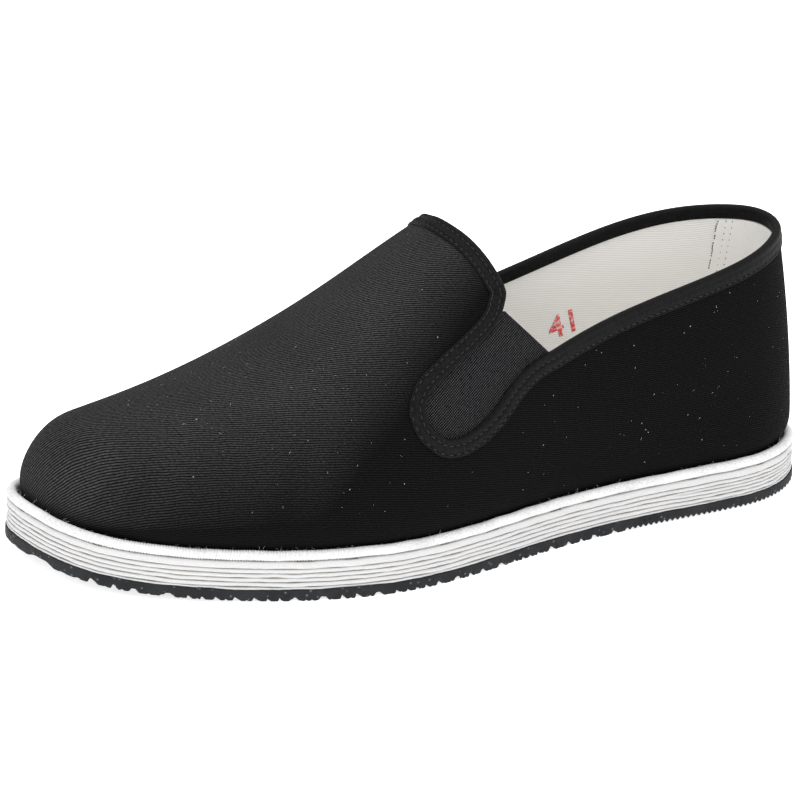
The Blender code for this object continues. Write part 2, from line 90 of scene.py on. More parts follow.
PlanPoint = namedtuple("PlanPoint", "x y")
SOLE_OUTLINE = (
    PlanPoint(138.0, 2.5), PlanPoint(122.0, -18.5), PlanPoint(96.0, -25.5), PlanPoint(37.0, -34.5),
    PlanPoint(-28.0, -52.0), PlanPoint(-83.0, -42.5), PlanPoint(-124.5, -20.5), PlanPoint(-137.5, 8.0),
    PlanPoint(-134.5, 34.0), PlanPoint(-94.0, 49.0), PlanPoint(-48.0, 52.0), PlanPoint(37.0, 38.0),
    PlanPoint(96.0, 34.5), PlanPoint(122.5, 25.0),
)
Section = namedtuple("Section", "x ridge side crown")
SECTIONS = (
    Section(-118.0, 32.6, 2.26, 2.16), Section(-80.0, 44.9, 2.12, 2.02),
    Section(-40.0, 65.3, 2.04, 1.90), Section(0.0, 90.4, 2.02, 1.90),
    Section(45.0, 107.0, 2.16, 2.60), Section(138.0, 122.0, 2.57, 3.20),
)
SidePoint = namedtuple("SidePoint", "x z")
COLLAR = (
    SidePoint(28.0, 68.8), SidePoint(51.0, 76.0), SidePoint(89.0, 85.5), SidePoint(115.5, 91.2),
    SidePoint(129.0, 93.5),
)
# The gore slot's edge in side view, from its rear corner down round the end and up to the front
SLOT_EDGE = (
    SidePoint(26.6, 66.5), SidePoint(21.3, 64.9), SidePoint(16.4, 62.3), SidePoint(10.8, 58.1),
    SidePoint(5.9, 53.2), SidePoint(-0.6, 49.0), SidePoint(-8.4, 46.5), SidePoint(-15.0, 46.8),
    SidePoint(-20.8, 51.6), SidePoint(-22.6, 57.6), SidePoint(-19.4, 63.2), SidePoint(-9.9, 69.3),
    SidePoint(-1.9, 73.7), SidePoint(5.2, 78.2), SidePoint(9.4, 81.9),
)
SLOT_SLANT = np.radians(35.0)


# Numbers and curves

def column(table, name):
    return [getattr(row, name) for row in table]


def ease(value, start, end):
    """0 before start, 1 after end, and smooth between them."""
    t = np.clip((value - start) / (end - start), 0, 1)
    return t * t * (3 - 2 * t)


def smooth_loop(points, count):
    """Closed cubic spline through plan points, with knots spaced by the root of the chord."""
    points = np.array(points, float)
    size = len(points)
    step = np.linalg.norm(np.roll(points, -1, 0) - points, axis=1) ** 0.5
    knots = np.concatenate([[0.0], np.cumsum(step)])
    matrix = np.zeros((size, size))
    target = np.zeros(points.shape)
    for i in range(size):
        before, after, following = step[i - 1], step[i], (i + 1) % size
        matrix[i, i - 1] += before
        matrix[i, i] += 2 * (before + after)
        matrix[i, following] += after
        rise_after = (points[following] - points[i]) / after
        rise_before = (points[i] - points[i - 1]) / before
        target[i] = 6 * (rise_after - rise_before)
    bend = np.linalg.solve(matrix, target)
    where = np.linspace(0, knots[-1], count, endpoint=False)
    i = np.clip(np.searchsorted(knots, where, side="right") - 1, 0, size - 1)
    j = (i + 1) % size
    span = step[i][:, None]
    left = (knots[i + 1] - where)[:, None]
    right = (where - knots[i])[:, None]
    return ((bend[i] * left**3 + bend[j] * right**3) / (6 * span)
            + (points[i] / span - bend[i] * span / 6) * left
            + (points[j] / span - bend[j] * span / 6) * right)


def smooth_table(xs, ys):
    """Natural cubic spline through a table, straight beyond its ends."""
    xs, ys = np.array(xs, float), np.array(ys, float)
    size = len(xs)
    step = np.diff(xs)
    matrix, target = np.eye(size), np.zeros(size)
    for i in range(1, size - 1):
        matrix[i, i - 1:i + 2] = step[i - 1], 2 * (step[i - 1] + step[i]), step[i]
        target[i] = 6 * ((ys[i + 1] - ys[i]) / step[i] - (ys[i] - ys[i - 1]) / step[i - 1])
    bend = np.linalg.solve(matrix, target)
    first_slope = (ys[1] - ys[0]) / step[0] - step[0] * bend[1] / 6
    last_slope = (ys[-1] - ys[-2]) / step[-1] + step[-1] * bend[-2] / 6

    def value(x):
        x = np.asarray(x, float)
        inside = np.clip(x, xs[0], xs[-1])
        i = np.clip(np.searchsorted(xs, inside, side="right") - 1, 0, size - 2)
        span, left, right = step[i], xs[i + 1] - inside, inside - xs[i]
        curve = ((bend[i] * left**3 + bend[i + 1] * right**3) / (6 * span)
                 + (ys[i] / span - bend[i] * span / 6) * left
                 + (ys[i + 1] / span - bend[i + 1] * span / 6) * right)
        return curve + first_slope * np.minimum(x - xs[0], 0) + last_slope * np.maximum(x - xs[-1], 0)

    return value


def lengths_along(points):
    return np.concatenate([[0.0], np.cumsum(np.linalg.norm(np.diff(points, axis=0), axis=1))])


def spread_out(points, count):
    """The same open line with evenly spaced points."""
    length = lengths_along(points)
    where = np.linspace(0, length[-1], count)
    return np.stack([np.interp(where, length, points[:, k]) for k in range(points.shape[1])], 1)


def soften(values, reach, closed=True):
    """Running average over a few neighbours on both sides."""
    weights = np.hanning(2 * reach + 3)[1:-1]
    weights /= weights.sum()
    total = np.zeros(values.shape)
    for k, weight in enumerate(weights):
        shift = k - reach
        if closed:
            total += weight * np.roll(values, shift, 0)
        else:
            total += weight * values[np.clip(np.arange(len(values)) - shift, 0, len(values) - 1)]
    return total


def ripple(count, waves, seed, terms=14):
    """Smooth noise from about -1 to 1 round a closed line, with between two numbers of waves."""
    rng = np.random.default_rng(seed)
    turn = np.linspace(0, 2 * np.pi, count, endpoint=False)
    numbers = rng.integers(waves[0], waves[1], terms)
    phases = rng.uniform(0, 2 * np.pi, terms)
    heights = rng.uniform(0.4, 1.0, terms)
    return sum(h * np.sin(n * turn + p) for n, p, h in zip(numbers, phases, heights)) / terms ** 0.5


def unit(vectors):
    return vectors / np.maximum(np.linalg.norm(vectors, axis=-1, keepdims=True), 1e-9)


# The shoe's own surfaces

def loop_normals(loop):
    """Outward plan normals of a loop that runs clockwise seen from above."""
    along = unit(np.roll(loop, -1, 0) - np.roll(loop, 1, 0))
    return np.stack([-along[:, 1], along[:, 0]], 1)


def sole_loop(inset, count):
    """The sole's outline moved in by an inset, which may change along it."""
    loop = smooth_loop(SOLE_OUTLINE, count)
    return loop - np.reshape(inset, (-1, 1)) * loop_normals(loop)


def toe_rise(x):
    return TOE_SPRING * np.clip((TOE_SPRING_START - x) / (TOE_SPRING_START - TOE_SPRING_END), 0, 1) ** 2


@lru_cache(maxsize=None)
def feather_halves():
    """The feather line's outer and inner halves, both from toe to heel."""
    loop = sole_loop(FEATHER_INSET, DENSE_POINTS)
    toe, heel = np.argmin(loop[:, 0]), np.argmax(loop[:, 0])
    loop, toe = np.roll(loop, -heel, 0), (toe - heel) % DENSE_POINTS
    return loop[:toe + 1][::-1], np.concatenate([loop[toe:], loop[:1]])


def section_value(x, name):
    return smooth_table(column(SECTIONS, "x"), column(SECTIONS, name))(x)


def last_fills(x, y, z):
    """Whether a point over the feather line lies inside the last's sections."""
    outer, inner = feather_halves()
    toe_end, heel_end = outer[0, 0], outer[-1, 0]
    near, far = np.interp(x, outer[:, 0], outer[:, 1]), np.interp(x, inner[:, 0], inner[:, 1])
    half = np.maximum((far - near) / 2, 0.001)
    short = np.clip((toe_end + TOE_ROUND_LENGTH - x) / TOE_ROUND_LENGTH, 0, 1)
    rounding = (1 - short**TOE_ROUND_POWER) ** (1 / TOE_ROUND_POWER)
    ridge = np.maximum(section_value(x, "ridge") * rounding, 0.001)
    across = np.abs(y - (near + far) / 2) / half
    section = across ** section_value(x, "side") + (z / ridge) ** section_value(x, "crown")
    return (section < 1) & (x > toe_end) & (x < heel_end)


def pull_over(feather, tilt):
    """Points of the last's surface, one for each feather point and tilt of its ray."""
    run = feather - np.array(HEART)
    reach = np.linalg.norm(run, axis=1)[:, None]
    run = run / reach
    flat, climb = reach * np.cos(tilt), CROWN_REACH * np.sin(tilt)
    near, far = np.zeros(flat.shape), np.full(flat.shape, 2.2)
    for _ in range(26):
        middle = (near + far) / 2
        x = HEART[0] + middle * flat * run[:, :1]
        y = HEART[1] + middle * flat * run[:, 1:]
        filled = last_fills(x, y, middle * climb)
        near, far = np.where(filled, middle, near), np.where(filled, far, middle)
    x = HEART[0] + near * flat * run[:, :1]
    y = HEART[1] + near * flat * run[:, 1:]
    return shape_upper(x, y, near * climb, loop_normals(feather))


def shape_upper(x, y, z, outward):
    """Swell the last's surface over the welt, lean and flare it at the heel, and seat it."""
    swell = BULGE_HEEL + (BULGE_FORE - BULGE_HEEL) * (1 - ease(x, *BULGE_CHANGE))
    swell = swell * (1 - TOE_TUCK * (1 - ease(x, *TOE_TUCK_REACH)))
    swell = swell * (1 - np.exp(-(z / BULGE_RISE) ** 2))
    heel = ease(x, *HEEL_SHAPING)
    rise = np.maximum(z, 0) / COLLAR_HEIGHT
    shaped_x = x + swell * outward[:, :1] - HEEL_LEAN * heel * rise ** HEEL_LEAN_POWER
    shaped_y = y + (swell + HEEL_FLARE * heel * rise) * outward[:, 1:]
    return np.stack([shaped_x, shaped_y, z + UPPER_BASE + toe_rise(x)], -1)


def throat_line(y):
    return THROAT_MIDDLE + THROAT_SWEEP * ((y - HEART[1]) / THROAT_HALF_WIDTH) ** 2


def collar_drop(x, y):
    """How far the edge lies below the collar's line: nothing at the throat, more on the outer side."""
    inner = ease(y, HEART[1] - COLLAR_DROP_TURN, HEART[1] + COLLAR_DROP_TURN)
    drop = COLLAR_DROP_OUTER + (COLLAR_DROP_INNER - COLLAR_DROP_OUTER) * inner
    return drop * ease(x, *COLLAR_DROP_START)


def shoe_is_open(points):
    """Whether points of the last's surface lie in the collar, the throat or over the gores' hems."""
    x, y, z = points[..., 0], points[..., 1], points[..., 2]
    collar = smooth_table(column(COLLAR, "x"), column(COLLAR, "z"))(x)
    corner = COLLAR[0]
    side_edge = np.where(x < corner.x, corner.z + HEM_SLOPE * (corner.x - x), collar)
    return (z > side_edge - collar_drop(x, y)) & (x > throat_line(y))


def upper_lines(count):
    """The upper's surface as columns of close points, each from the feather line to the edge."""
    feather = sole_loop(FEATHER_INSET, count)
    steps = np.linspace(0, np.radians(88), SURFACE_STEPS)
    first = shoe_is_open(pull_over(feather, np.tile(steps, (count, 1)))).argmax(1)
    low, high = steps[first - 1][:, None], steps[first][:, None]
    for _ in range(18):
        middle = (low + high) / 2
        is_open = shoe_is_open(pull_over(feather, middle))
        low, high = np.where(is_open, low, middle), np.where(is_open, middle, high)
    return pull_over(feather, high * np.linspace(0, 1, SURFACE_STEPS))


def along_lines(lines, shares):
    """Points on each column at given shares of its length from the feather line."""
    result = np.empty((len(lines), len(shares), 3))
    for i, line in enumerate(lines):
        length = lengths_along(line)
        for axis in range(3):
            result[i, :, axis] = np.interp(shares * length[-1], length, line[:, axis])
    return result


def surface_normals(grid, closed=True):
    """Outward unit normals of a grid of columns round the shoe and rows up it."""
    around = np.roll(grid, -1, 0) - np.roll(grid, 1, 0) if closed else np.gradient(grid, axis=0)
    return unit(np.cross(np.gradient(grid, axis=1), around))


# Meshes

def mesh_object(name, vertices, faces, material, uvs=None):
    """A piece from millimetre points; uvs has one millimetre pair for each corner of each face."""
    mesh = bpy.data.meshes.new(name)
    mesh.from_pydata([tuple(point) for point in np.asarray(vertices) * MM], [], [tuple(f) for f in faces])
    if uvs is not None:
        layer = mesh.uv_layers.new(name="weave")
        layer.data.foreach_set("uv", np.asarray(uvs, np.float32).ravel())
    mesh.validate()
    mesh.shade_smooth()
    item = bpy.data.objects.new(name, mesh)
    bpy.context.scene.collection.objects.link(item)
    if material:
        mesh.materials.append(material)
    return item


def dress(item, slot, *nodes):
    """Let a finished piece ride with the shoe and stand for its solids; its slot is not used."""
    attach(item, "root")
    if nodes:
        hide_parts(*nodes)
    return item


def grid_corners(columns, rows, closed):
    """Corner numbers of a grid's quads, facing out, as a list of column and row for each corner."""
    i, j = np.meshgrid(np.arange(columns if closed else columns - 1), np.arange(rows - 1), indexing="ij")
    i, j = i.ravel(), j.ravel()
    return np.stack([np.stack([i, j], 1), np.stack([i, j + 1], 1),
                     np.stack([i + 1, j + 1], 1), np.stack([i + 1, j], 1)], 1)


def slab_faces(rows, across):
    """Faces of a thin slab: a front grid, a back grid behind it, and the wall round both."""
    size = rows * across
    corners = grid_corners(rows, across, closed=False)
    front = corners[..., 0] * across + corners[..., 1]
    rim = ([j for j in range(across)] + [i * across + across - 1 for i in range(1, rows)]
           + [(rows - 1) * across + j for j in range(across - 2, -1, -1)]
           + [i * across for i in range(rows - 2, 0, -1)])
    a, b = np.array(rim), np.roll(rim, -1)
    return np.concatenate([front, front[:, ::-1] + size, np.stack([b, a, a + size, b + size], 1)])


def tube_faces(rings, sides):
    """Faces of a closed tube whose rings follow each other and close on themselves."""
    i, j = np.meshgrid(np.arange(rings), np.arange(sides), indexing="ij")
    i, j = i.ravel(), j.ravel()
    after, beside = (i + 1) % rings, (j + 1) % sides
    return np.stack([i * sides + j, i * sides + beside, after * sides + beside, after * sides + j], 1)


def shell_object(name, grid, normals, depth_out, depth_in, pattern, material):
    """A closed wall round the shoe between two depths under its surface."""
    columns, rows = grid.shape[:2]
    outer = (grid - depth_out * normals).reshape(-1, 3)
    inner = (grid - depth_in * normals).reshape(-1, 3)
    corners = grid_corners(columns, rows, closed=True)
    outer_faces = corners[..., 0] % columns * rows + corners[..., 1]
    inner_faces = (outer_faces + columns * rows)[:, ::-1]
    i = np.arange(columns)
    after = (i + 1) % columns
    size = columns * rows
    foot = np.stack([i * rows, after * rows, after * rows + size, i * rows + size], 1)
    top = np.stack([after * rows, i * rows, i * rows + size, after * rows + size], 1) + rows - 1
    flat = pattern.reshape(-1, 2)
    outer_uv = flat[corners[..., 0] * rows + corners[..., 1]]
    foot_uv = flat[np.stack([i * rows, (i + 1) * rows, (i + 1) * rows, i * rows], 1)]
    top_uv = flat[np.stack([(i + 1) * rows, i * rows, i * rows, (i + 1) * rows], 1) + rows - 1]
    uvs = np.concatenate([outer_uv, outer_uv[:, ::-1], foot_uv, top_uv])
    faces = np.concatenate([outer_faces, inner_faces, foot, top])
    return mesh_object(name, np.concatenate([outer, inner]), faces, material, uvs)


def flat_pattern(grid):
    """The upper's surface laid flat from a cut at the back seam, in millimetres, toe to -X."""
    opened = np.concatenate([grid, grid[:1]])
    columns, rows = opened.shape[:2]
    corners = grid_corners(columns, rows, closed=False)
    faces = corners[..., 0] * rows + corners[..., 1]
    item = mesh_object("pattern", opened.reshape(-1, 3), faces, None, np.zeros((len(faces), 4, 2)))
    bpy.context.view_layer.objects.active = item
    item.select_set(True)
    bpy.ops.object.mode_set(mode="EDIT")
    bpy.ops.mesh.select_all(action="SELECT")
    bpy.ops.uv.unwrap(method="ANGLE_BASED", margin=0.0)
    bpy.ops.object.mode_set(mode="OBJECT")
    found = np.zeros(len(item.data.loops) * 2, np.float32)
    item.data.uv_layers["weave"].data.foreach_get("uv", found)
    used = np.zeros(len(item.data.loops), np.int32)
    item.data.loops.foreach_get("vertex_index", used)
    pattern = np.zeros((columns * rows, 2))
    pattern[used] = found.reshape(-1, 2)
    bpy.data.objects.remove(item, do_unlink=True)
    pattern = pattern.reshape(columns, rows, 2)
    real = np.linalg.norm(np.diff(opened, axis=1), axis=2).sum()
    pattern *= real / np.linalg.norm(np.diff(pattern, axis=1), axis=2).sum()
    toe = columns // 2
    forward = unit(pattern[toe, 0] - pattern[toe, -1])
    side = np.array([-forward[1], forward[0]])
    centre = pattern[toe, -1].copy()
    laid = np.stack([-(pattern - centre) @ forward, (pattern - centre) @ side], -1)
    if laid[columns // 4, rows // 2, 1] > 0:
        laid[..., 1] *= -1
    laid[..., 1] += GRAIN_BEND * np.maximum(laid[..., 0], 0) ** 2
    return laid


def face_outward(item):
    work = bmesh.new()
    work.from_mesh(item.data)
    bmesh.ops.recalc_face_normals(work, faces=work.faces)
    work.to_mesh(item.data)
    work.free()


def boolean_cut(item, cutter):
    """Cut a piece with another shape and keep the result as its mesh."""
    cut = item.modifiers.new("cut", "BOOLEAN")
    cut.operation, cut.object, cut.solver = "DIFFERENCE", cutter, "EXACT"
    done = bpy.data.meshes.new_from_object(item.evaluated_get(bpy.context.evaluated_depsgraph_get()))
    item.modifiers.clear()
    old, item.data = item.data, done
    bpy.data.meshes.remove(old)
    item.data.name = item.name
    item.data.set_sharp_from_angle(angle=np.radians(50))


# The guide surface, which runs on past the upper's edges

def press_creases(grid, normals):
    """The upper's few soft creases, each a trough or ridge along a short line."""
    moved = np.zeros(grid.shape[:2])
    for crease in CREASES:
        start, end = np.array(crease.start), np.array(crease.end)
        run = end - start
        share = np.clip((grid - start) @ run / (run @ run), 0, 1)
        away = np.linalg.norm(grid - (start + share[..., None] * run), axis=2)
        fade = np.sin(np.pi * (0.08 + 0.84 * share)) ** 0.8
        moved += crease.height * fade * np.exp(-(away / crease.width) ** 2)
    return grid + moved[..., None] * normals


Crease = namedtuple("Crease", "start end width height")
CREASES = (
    # a soft edge where the vamp turns round the toe's outer corner, and the flats beside it
    Crease((-129, -14, 24), (-117, -16, 47), 3.2, 0.45),
    Crease((-120, -24, 20), (-106, -27, 42), 5.0, -0.35),
    Crease((-134, -2, 24), (-126, -3, 42), 5.0, -0.30),
    # the vamp gives a little where the foot bends
    Crease((-70, -44, 24), (-52, -30, 58), 6.5, -0.50),
    Crease((-55, -47, 24), (-38, -34, 60), 5.5, 0.35),
    Crease((-72, 48, 24), (-54, 34, 56), 6.5, -0.50),
    # pulled in below the slots, and slack over the heel's waist
    Crease((-22, -42, 42), (18, -35, 44), 7.0, -0.45),
    Crease((-22, 44, 42), (18, 38, 44), 7.0, -0.45),
    Crease((70, -28, 34), (112, -18, 46), 8.0, -0.50),
    Crease((70, 34, 34), (112, 26, 46), 8.0, -0.50),
    # the centre seam at the back of the heel
    Crease((141, 2.5, 18), (131, 2.5, 90), 0.9, -0.30),
)


class Guide:
    """The whole surface of the shaped last, for laying tape, thread and lint on."""

    def __init__(self):
        feather = sole_loop(FEATHER_INSET, SURFACE_COLUMNS)
        tilts = np.tile(np.linspace(0, np.radians(85), SURFACE_STEPS), (SURFACE_COLUMNS, 1))
        grid = pull_over(feather, tilts)
        grid = press_creases(grid, surface_normals(grid))
        corners = grid_corners(*grid.shape[:2], closed=True)
        faces = corners[..., 0] % SURFACE_COLUMNS * SURFACE_STEPS + corners[..., 1]
        triangles = np.concatenate([faces[:, [0, 1, 2]], faces[:, [0, 2, 3]]])
        self.tree = BVHTree.FromPolygons(grid.reshape(-1, 3).tolist(), triangles.tolist())

    def nearest(self, points):
        """The nearest points of the surface, and its normals there."""
        flat = np.asarray(points, float).reshape(-1, 3)
        found = [self.tree.find_nearest(Vector(p)) for p in flat]
        places = np.array([f[0] for f in found]).reshape(np.shape(points))
        normals = np.array([f[1] for f in found]).reshape(np.shape(points))
        outward = places - np.array([0.0, HEART[1], 20.0])
        outward[..., 0] = 0.25 * (places[..., 0] - 10.0)
        flip = np.where((normals * outward).sum(-1, keepdims=True) < 0, -1.0, 1.0)
        return places, normals * flip

    def from_side(self, side_points, inner_side):
        """Points of the surface behind points of the side view."""
        start, way = (90.0, -1.0) if inner_side else (-90.0, 1.0)
        return np.array([self.tree.ray_cast(Vector((x, start, z)), Vector((0, way, 0)))[0]
                         for x, z in side_points])


guide = Guide()


# Materials

def linear(code, alpha=1.0):
    """A linear colour from an sRGB hex value."""
    values = [int(code[k:k + 2], 16) / 255 for k in (1, 3, 5)]
    return (*[v / 12.92 if v <= 0.04045 else ((v + 0.055) / 1.055) ** 2.4 for v in values], alpha)


def add(tree, kind, inputs, output=0, **settings):
    """Add one node with its settings, values and links, and give back one of its outputs."""
    node = tree.nodes.new(kind)
    for name, value in settings.items():
        setattr(node, name, value)
    for key, value in inputs.items():
        if isinstance(value, bpy.types.NodeSocket):
            tree.links.new(value, node.inputs[key])
        else:
            node.inputs[key].default_value = value
    return node.outputs[output]


def start_material(name, **values):
    """A material and its shader, with the values that are the same all over."""
    material = bpy.data.materials.new(name)
    material.use_nodes = True
    shader = material.node_tree.nodes["Principled BSDF"]
    for socket, value in values.items():
        shader.inputs[socket.replace("_", " ")].default_value = value
    return material, material.node_tree, shader


Weave = namedtuple("Weave", "pitch run slant stagger wander")


def woven(tree, weave):
    """Height of a twill's ribs from 0 to 1: ribs of floats that stagger from one to the next."""
    place = add(tree, "ShaderNodeUVMap", {}, uv_map="weave")
    drift = add(tree, "ShaderNodeTexNoise", {"Vector": place, "Scale": 0.12, "Detail": 3.0}, output=1)
    shift = add(tree, "ShaderNodeVectorMath", {0: drift, 1: (weave.wander,) * 3}, operation="MULTIPLY")
    place = add(tree, "ShaderNodeVectorMath", {0: place, 1: shift}, operation="ADD")
    turned = add(tree, "ShaderNodeVectorRotate", {"Vector": place, "Angle": weave.slant},
                 rotation_type="Z_AXIS")
    along = add(tree, "ShaderNodeSeparateXYZ", {0: turned})
    across = along.node.outputs[1]
    rib = add(tree, "ShaderNodeMath", {0: across, 1: 1 / weave.pitch}, operation="MULTIPLY")
    number = add(tree, "ShaderNodeMath", {0: rib}, operation="FLOOR")
    run = add(tree, "ShaderNodeMath", {0: along, 1: 1 / weave.run}, operation="MULTIPLY")
    run = add(tree, "ShaderNodeMath", {0: number, 1: weave.stagger, 2: run}, operation="MULTIPLY_ADD")
    rib = add(tree, "ShaderNodeMath", {0: rib, 1: 0.5}, operation="PINGPONG")
    run = add(tree, "ShaderNodeMath", {0: run, 1: 0.5}, operation="PINGPONG")
    rib = add(tree, "ShaderNodeMapRange", {0: rib, 1: 0.02, 2: 0.42}, interpolation_type="SMOOTHSTEP")
    run = add(tree, "ShaderNodeMapRange", {0: run, 1: 0.0, 2: 0.14, 3: 0.72},
              interpolation_type="SMOOTHSTEP")
    return add(tree, "ShaderNodeMath", {0: rib, 1: run}, operation="MULTIPLY")


def shade_between(tree, factor, dark, light):
    return add(tree, "ShaderNodeMix", {0: factor, 6: linear(dark), 7: linear(light)}, output=2,
               data_type="RGBA")


def cotton_twill():
    # Black cotton twill, woven: matt and nearly black in the grooves, with fine grey ribs of short
    # floats; the grooves' black is painted shade and the ribs' grey painted highlight. The ribs are
    # painted lighter where the cloth faces up and forward, as the light falls there; the cloth is also
    # faded in faint clouds, and white lint is caught in it
    material, tree, shader = start_material("black_cotton_twill", Roughness=0.9, Specular_IOR_Level=0.05)
    height = woven(tree, Weave(pitch=0.76, run=1.55, slant=TWILL_SLANT, stagger=0.38, wander=1.2))
    place = add(tree, "ShaderNodeUVMap", {}, uv_map="weave")
    yarn = add(tree, "ShaderNodeTexNoise", {"Vector": place, "Scale": 1.1, "Detail": 4.0})
    # painted shade and highlight: the rib height colours the ribs grey and the grooves near black
    lit = add(tree, "ShaderNodeMath", {0: height, 1: yarn}, operation="MULTIPLY")
    lit = add(tree, "ShaderNodeMapRange", {0: lit, 1: 0.04, 2: 0.62})
    # painted light: the ribs are coloured lighter where the cloth faces up and forward
    facing = add(tree, "ShaderNodeNewGeometry", {}, output=1)
    painted_light_facing = add(tree, "ShaderNodeVectorMath", {0: facing, 1: (-0.9, 0.0, 0.8)}, output=1,
                operation="DOT_PRODUCT")
    painted_light_facing = add(tree, "ShaderNodeMapRange", {0: painted_light_facing, 1: 0.42, 2: 1.02})
    ridge = shade_between(tree, painted_light_facing, "#171717", "#4c4c4c")
    colour = add(tree, "ShaderNodeMix", {0: lit, 6: linear("#030303"), 7: ridge}, output=2,
                 data_type="RGBA")
    cloud = add(tree, "ShaderNodeTexNoise", {"Vector": place, "Scale": 0.035, "Detail": 5.0})
    cloud = add(tree, "ShaderNodeMapRange", {0: cloud, 1: 0.3, 2: 0.7, 3: 0.0, 4: 0.28})
    colour = add(tree, "ShaderNodeMix", {0: cloud, 6: colour, 7: linear("#0f0f0f")}, output=2,
                 data_type="RGBA")
    speck = add(tree, "ShaderNodeTexVoronoi", {"Vector": place, "Scale": 0.17})
    chance = add(tree, "ShaderNodeSeparateColor", {0: speck.node.outputs[1]})
    small = add(tree, "ShaderNodeMath", {0: speck, 1: 0.035}, operation="LESS_THAN")
    few = add(tree, "ShaderNodeMath", {0: chance, 1: 0.45}, operation="LESS_THAN")
    speck = add(tree, "ShaderNodeMath", {0: small, 1: few}, operation="MULTIPLY")
    speck = add(tree, "ShaderNodeMath", {0: speck, 1: 0.5}, operation="MULTIPLY")
    colour = add(tree, "ShaderNodeMix", {0: speck, 6: colour, 7: linear("#c9c9c6")}, output=2,
                 data_type="RGBA")
    bump = add(tree, "ShaderNodeBump", {"Height": height, "Strength": 0.8, "Distance": 0.00018})
    tree.links.new(colour, shader.inputs["Base Color"])
    tree.links.new(bump, shader.inputs["Normal"])
    return material


def cotton_drill(name, pitch, slant, groove, ridge, stain):
    # Undyed cotton drill, woven: off-white and matt, a fine diagonal line drawn as painted shade in
    # its grooves and painted highlight on its ridges, dustier in places
    material, tree, shader = start_material(name, Roughness=0.92, Specular_IOR_Level=0.2)
    height = woven(tree, Weave(pitch=pitch, run=1.3, slant=slant, stagger=0.31, wander=0.8))
    place = add(tree, "ShaderNodeUVMap", {}, uv_map="weave")
    # painted shade and highlight: grooves coloured darker, ridges lighter, by the weave's height
    colour = shade_between(tree, height, groove, ridge)
    dust = add(tree, "ShaderNodeTexNoise",
               {"Vector": place, "Scale": 0.05, "Detail": 6.0, "Roughness": 0.6})
    dust = add(tree, "ShaderNodeMapRange", {0: dust, 1: 0.42, 2: 0.75, 3: 0.0, 4: 0.55})
    colour = add(tree, "ShaderNodeMix", {0: dust, 6: colour, 7: linear(stain)}, output=2,
                 data_type="RGBA")
    bump = add(tree, "ShaderNodeBump", {"Height": height, "Strength": 0.7, "Distance": 0.00012})
    tree.links.new(colour, shader.inputs["Base Color"])
    tree.links.new(bump, shader.inputs["Normal"])
    return material


def bias_tape():
    # Black cotton bias tape, woven and pressed: denser than the twill, a low sheen that runs along
    # its folds, a fine diagonal and slightly greyed in uneven patches
    material, tree, shader = start_material("black_bias_tape", Specular_IOR_Level=0.09)
    place = add(tree, "ShaderNodeUVMap", {}, uv_map="weave")
    height = woven(tree, Weave(pitch=0.5, run=0.8, slant=np.radians(45), stagger=0.5, wander=0.4))
    worn = add(tree, "ShaderNodeTexNoise",
               {"Vector": place, "Scale": 0.55, "Detail": 6.0, "Roughness": 0.65})
    # partly painted highlight and shade: the weave's ridges coloured lighter than its grooves, with grey
    # patches of wear
    lit = add(tree, "ShaderNodeMath", {0: height, 1: 0.35, 2: worn}, operation="MULTIPLY_ADD")
    lit = add(tree, "ShaderNodeMapRange", {0: lit, 1: 0.4, 2: 1.05})
    colour = shade_between(tree, lit, "#040404", "#1d1d1e")
    gloss = add(tree, "ShaderNodeMapRange", {0: worn, 1: 0.3, 2: 0.7, 3: 0.42, 4: 0.62})
    both = add(tree, "ShaderNodeMath", {0: worn, 1: 1.5, 2: height}, operation="MULTIPLY_ADD")
    bump = add(tree, "ShaderNodeBump", {"Height": both, "Strength": 0.9, "Distance": 0.00016})
    tree.links.new(colour, shader.inputs["Base Color"])
    tree.links.new(gloss, shader.inputs["Roughness"])
    tree.links.new(bump, shader.inputs["Normal"])
    return material


def woven_elastic():
    # Black elastic webbing, woven over rubber cords: a square grid of small raised knots in rows,
    # coloured lighter on the knots as painted highlight and near black between them as painted shade
    material, tree, shader = start_material("black_elastic_webbing", Roughness=0.8,
                                            Specular_IOR_Level=0.05)
    place = add(tree, "ShaderNodeUVMap", {}, uv_map="weave")
    along = add(tree, "ShaderNodeSeparateXYZ", {0: place})
    across = along.node.outputs[1]
    cords = add(tree, "ShaderNodeMath", {0: across, 1: 1 / 0.74}, operation="MULTIPLY")
    picks = add(tree, "ShaderNodeMath", {0: along, 1: 1 / 0.62}, operation="MULTIPLY")
    cords = add(tree, "ShaderNodeMath", {0: cords, 1: 0.5}, operation="PINGPONG")
    picks = add(tree, "ShaderNodeMath", {0: picks, 1: 0.5}, operation="PINGPONG")
    cords = add(tree, "ShaderNodeMapRange", {0: cords, 1: 0.06, 2: 0.4}, interpolation_type="SMOOTHSTEP")
    picks = add(tree, "ShaderNodeMapRange", {0: picks, 1: 0.05, 2: 0.35}, interpolation_type="SMOOTHSTEP")
    height = add(tree, "ShaderNodeMath", {0: cords, 1: picks}, operation="MULTIPLY")
    yarn = add(tree, "ShaderNodeTexNoise", {"Vector": place, "Scale": 0.9, "Detail": 4.0})
    # painted highlight on the knots and painted shade between them, by their height
    lit = add(tree, "ShaderNodeMath", {0: height, 1: yarn}, operation="MULTIPLY")
    lit = add(tree, "ShaderNodeMapRange", {0: lit, 1: 0.12, 2: 0.42})
    colour = shade_between(tree, lit, "#020202", "#4b4b4d")
    bump = add(tree, "ShaderNodeBump", {"Height": height, "Strength": 0.9, "Distance": 0.0002})
    tree.links.new(colour, shader.inputs["Base Color"])
    tree.links.new(bump, shader.inputs["Normal"])
    return material


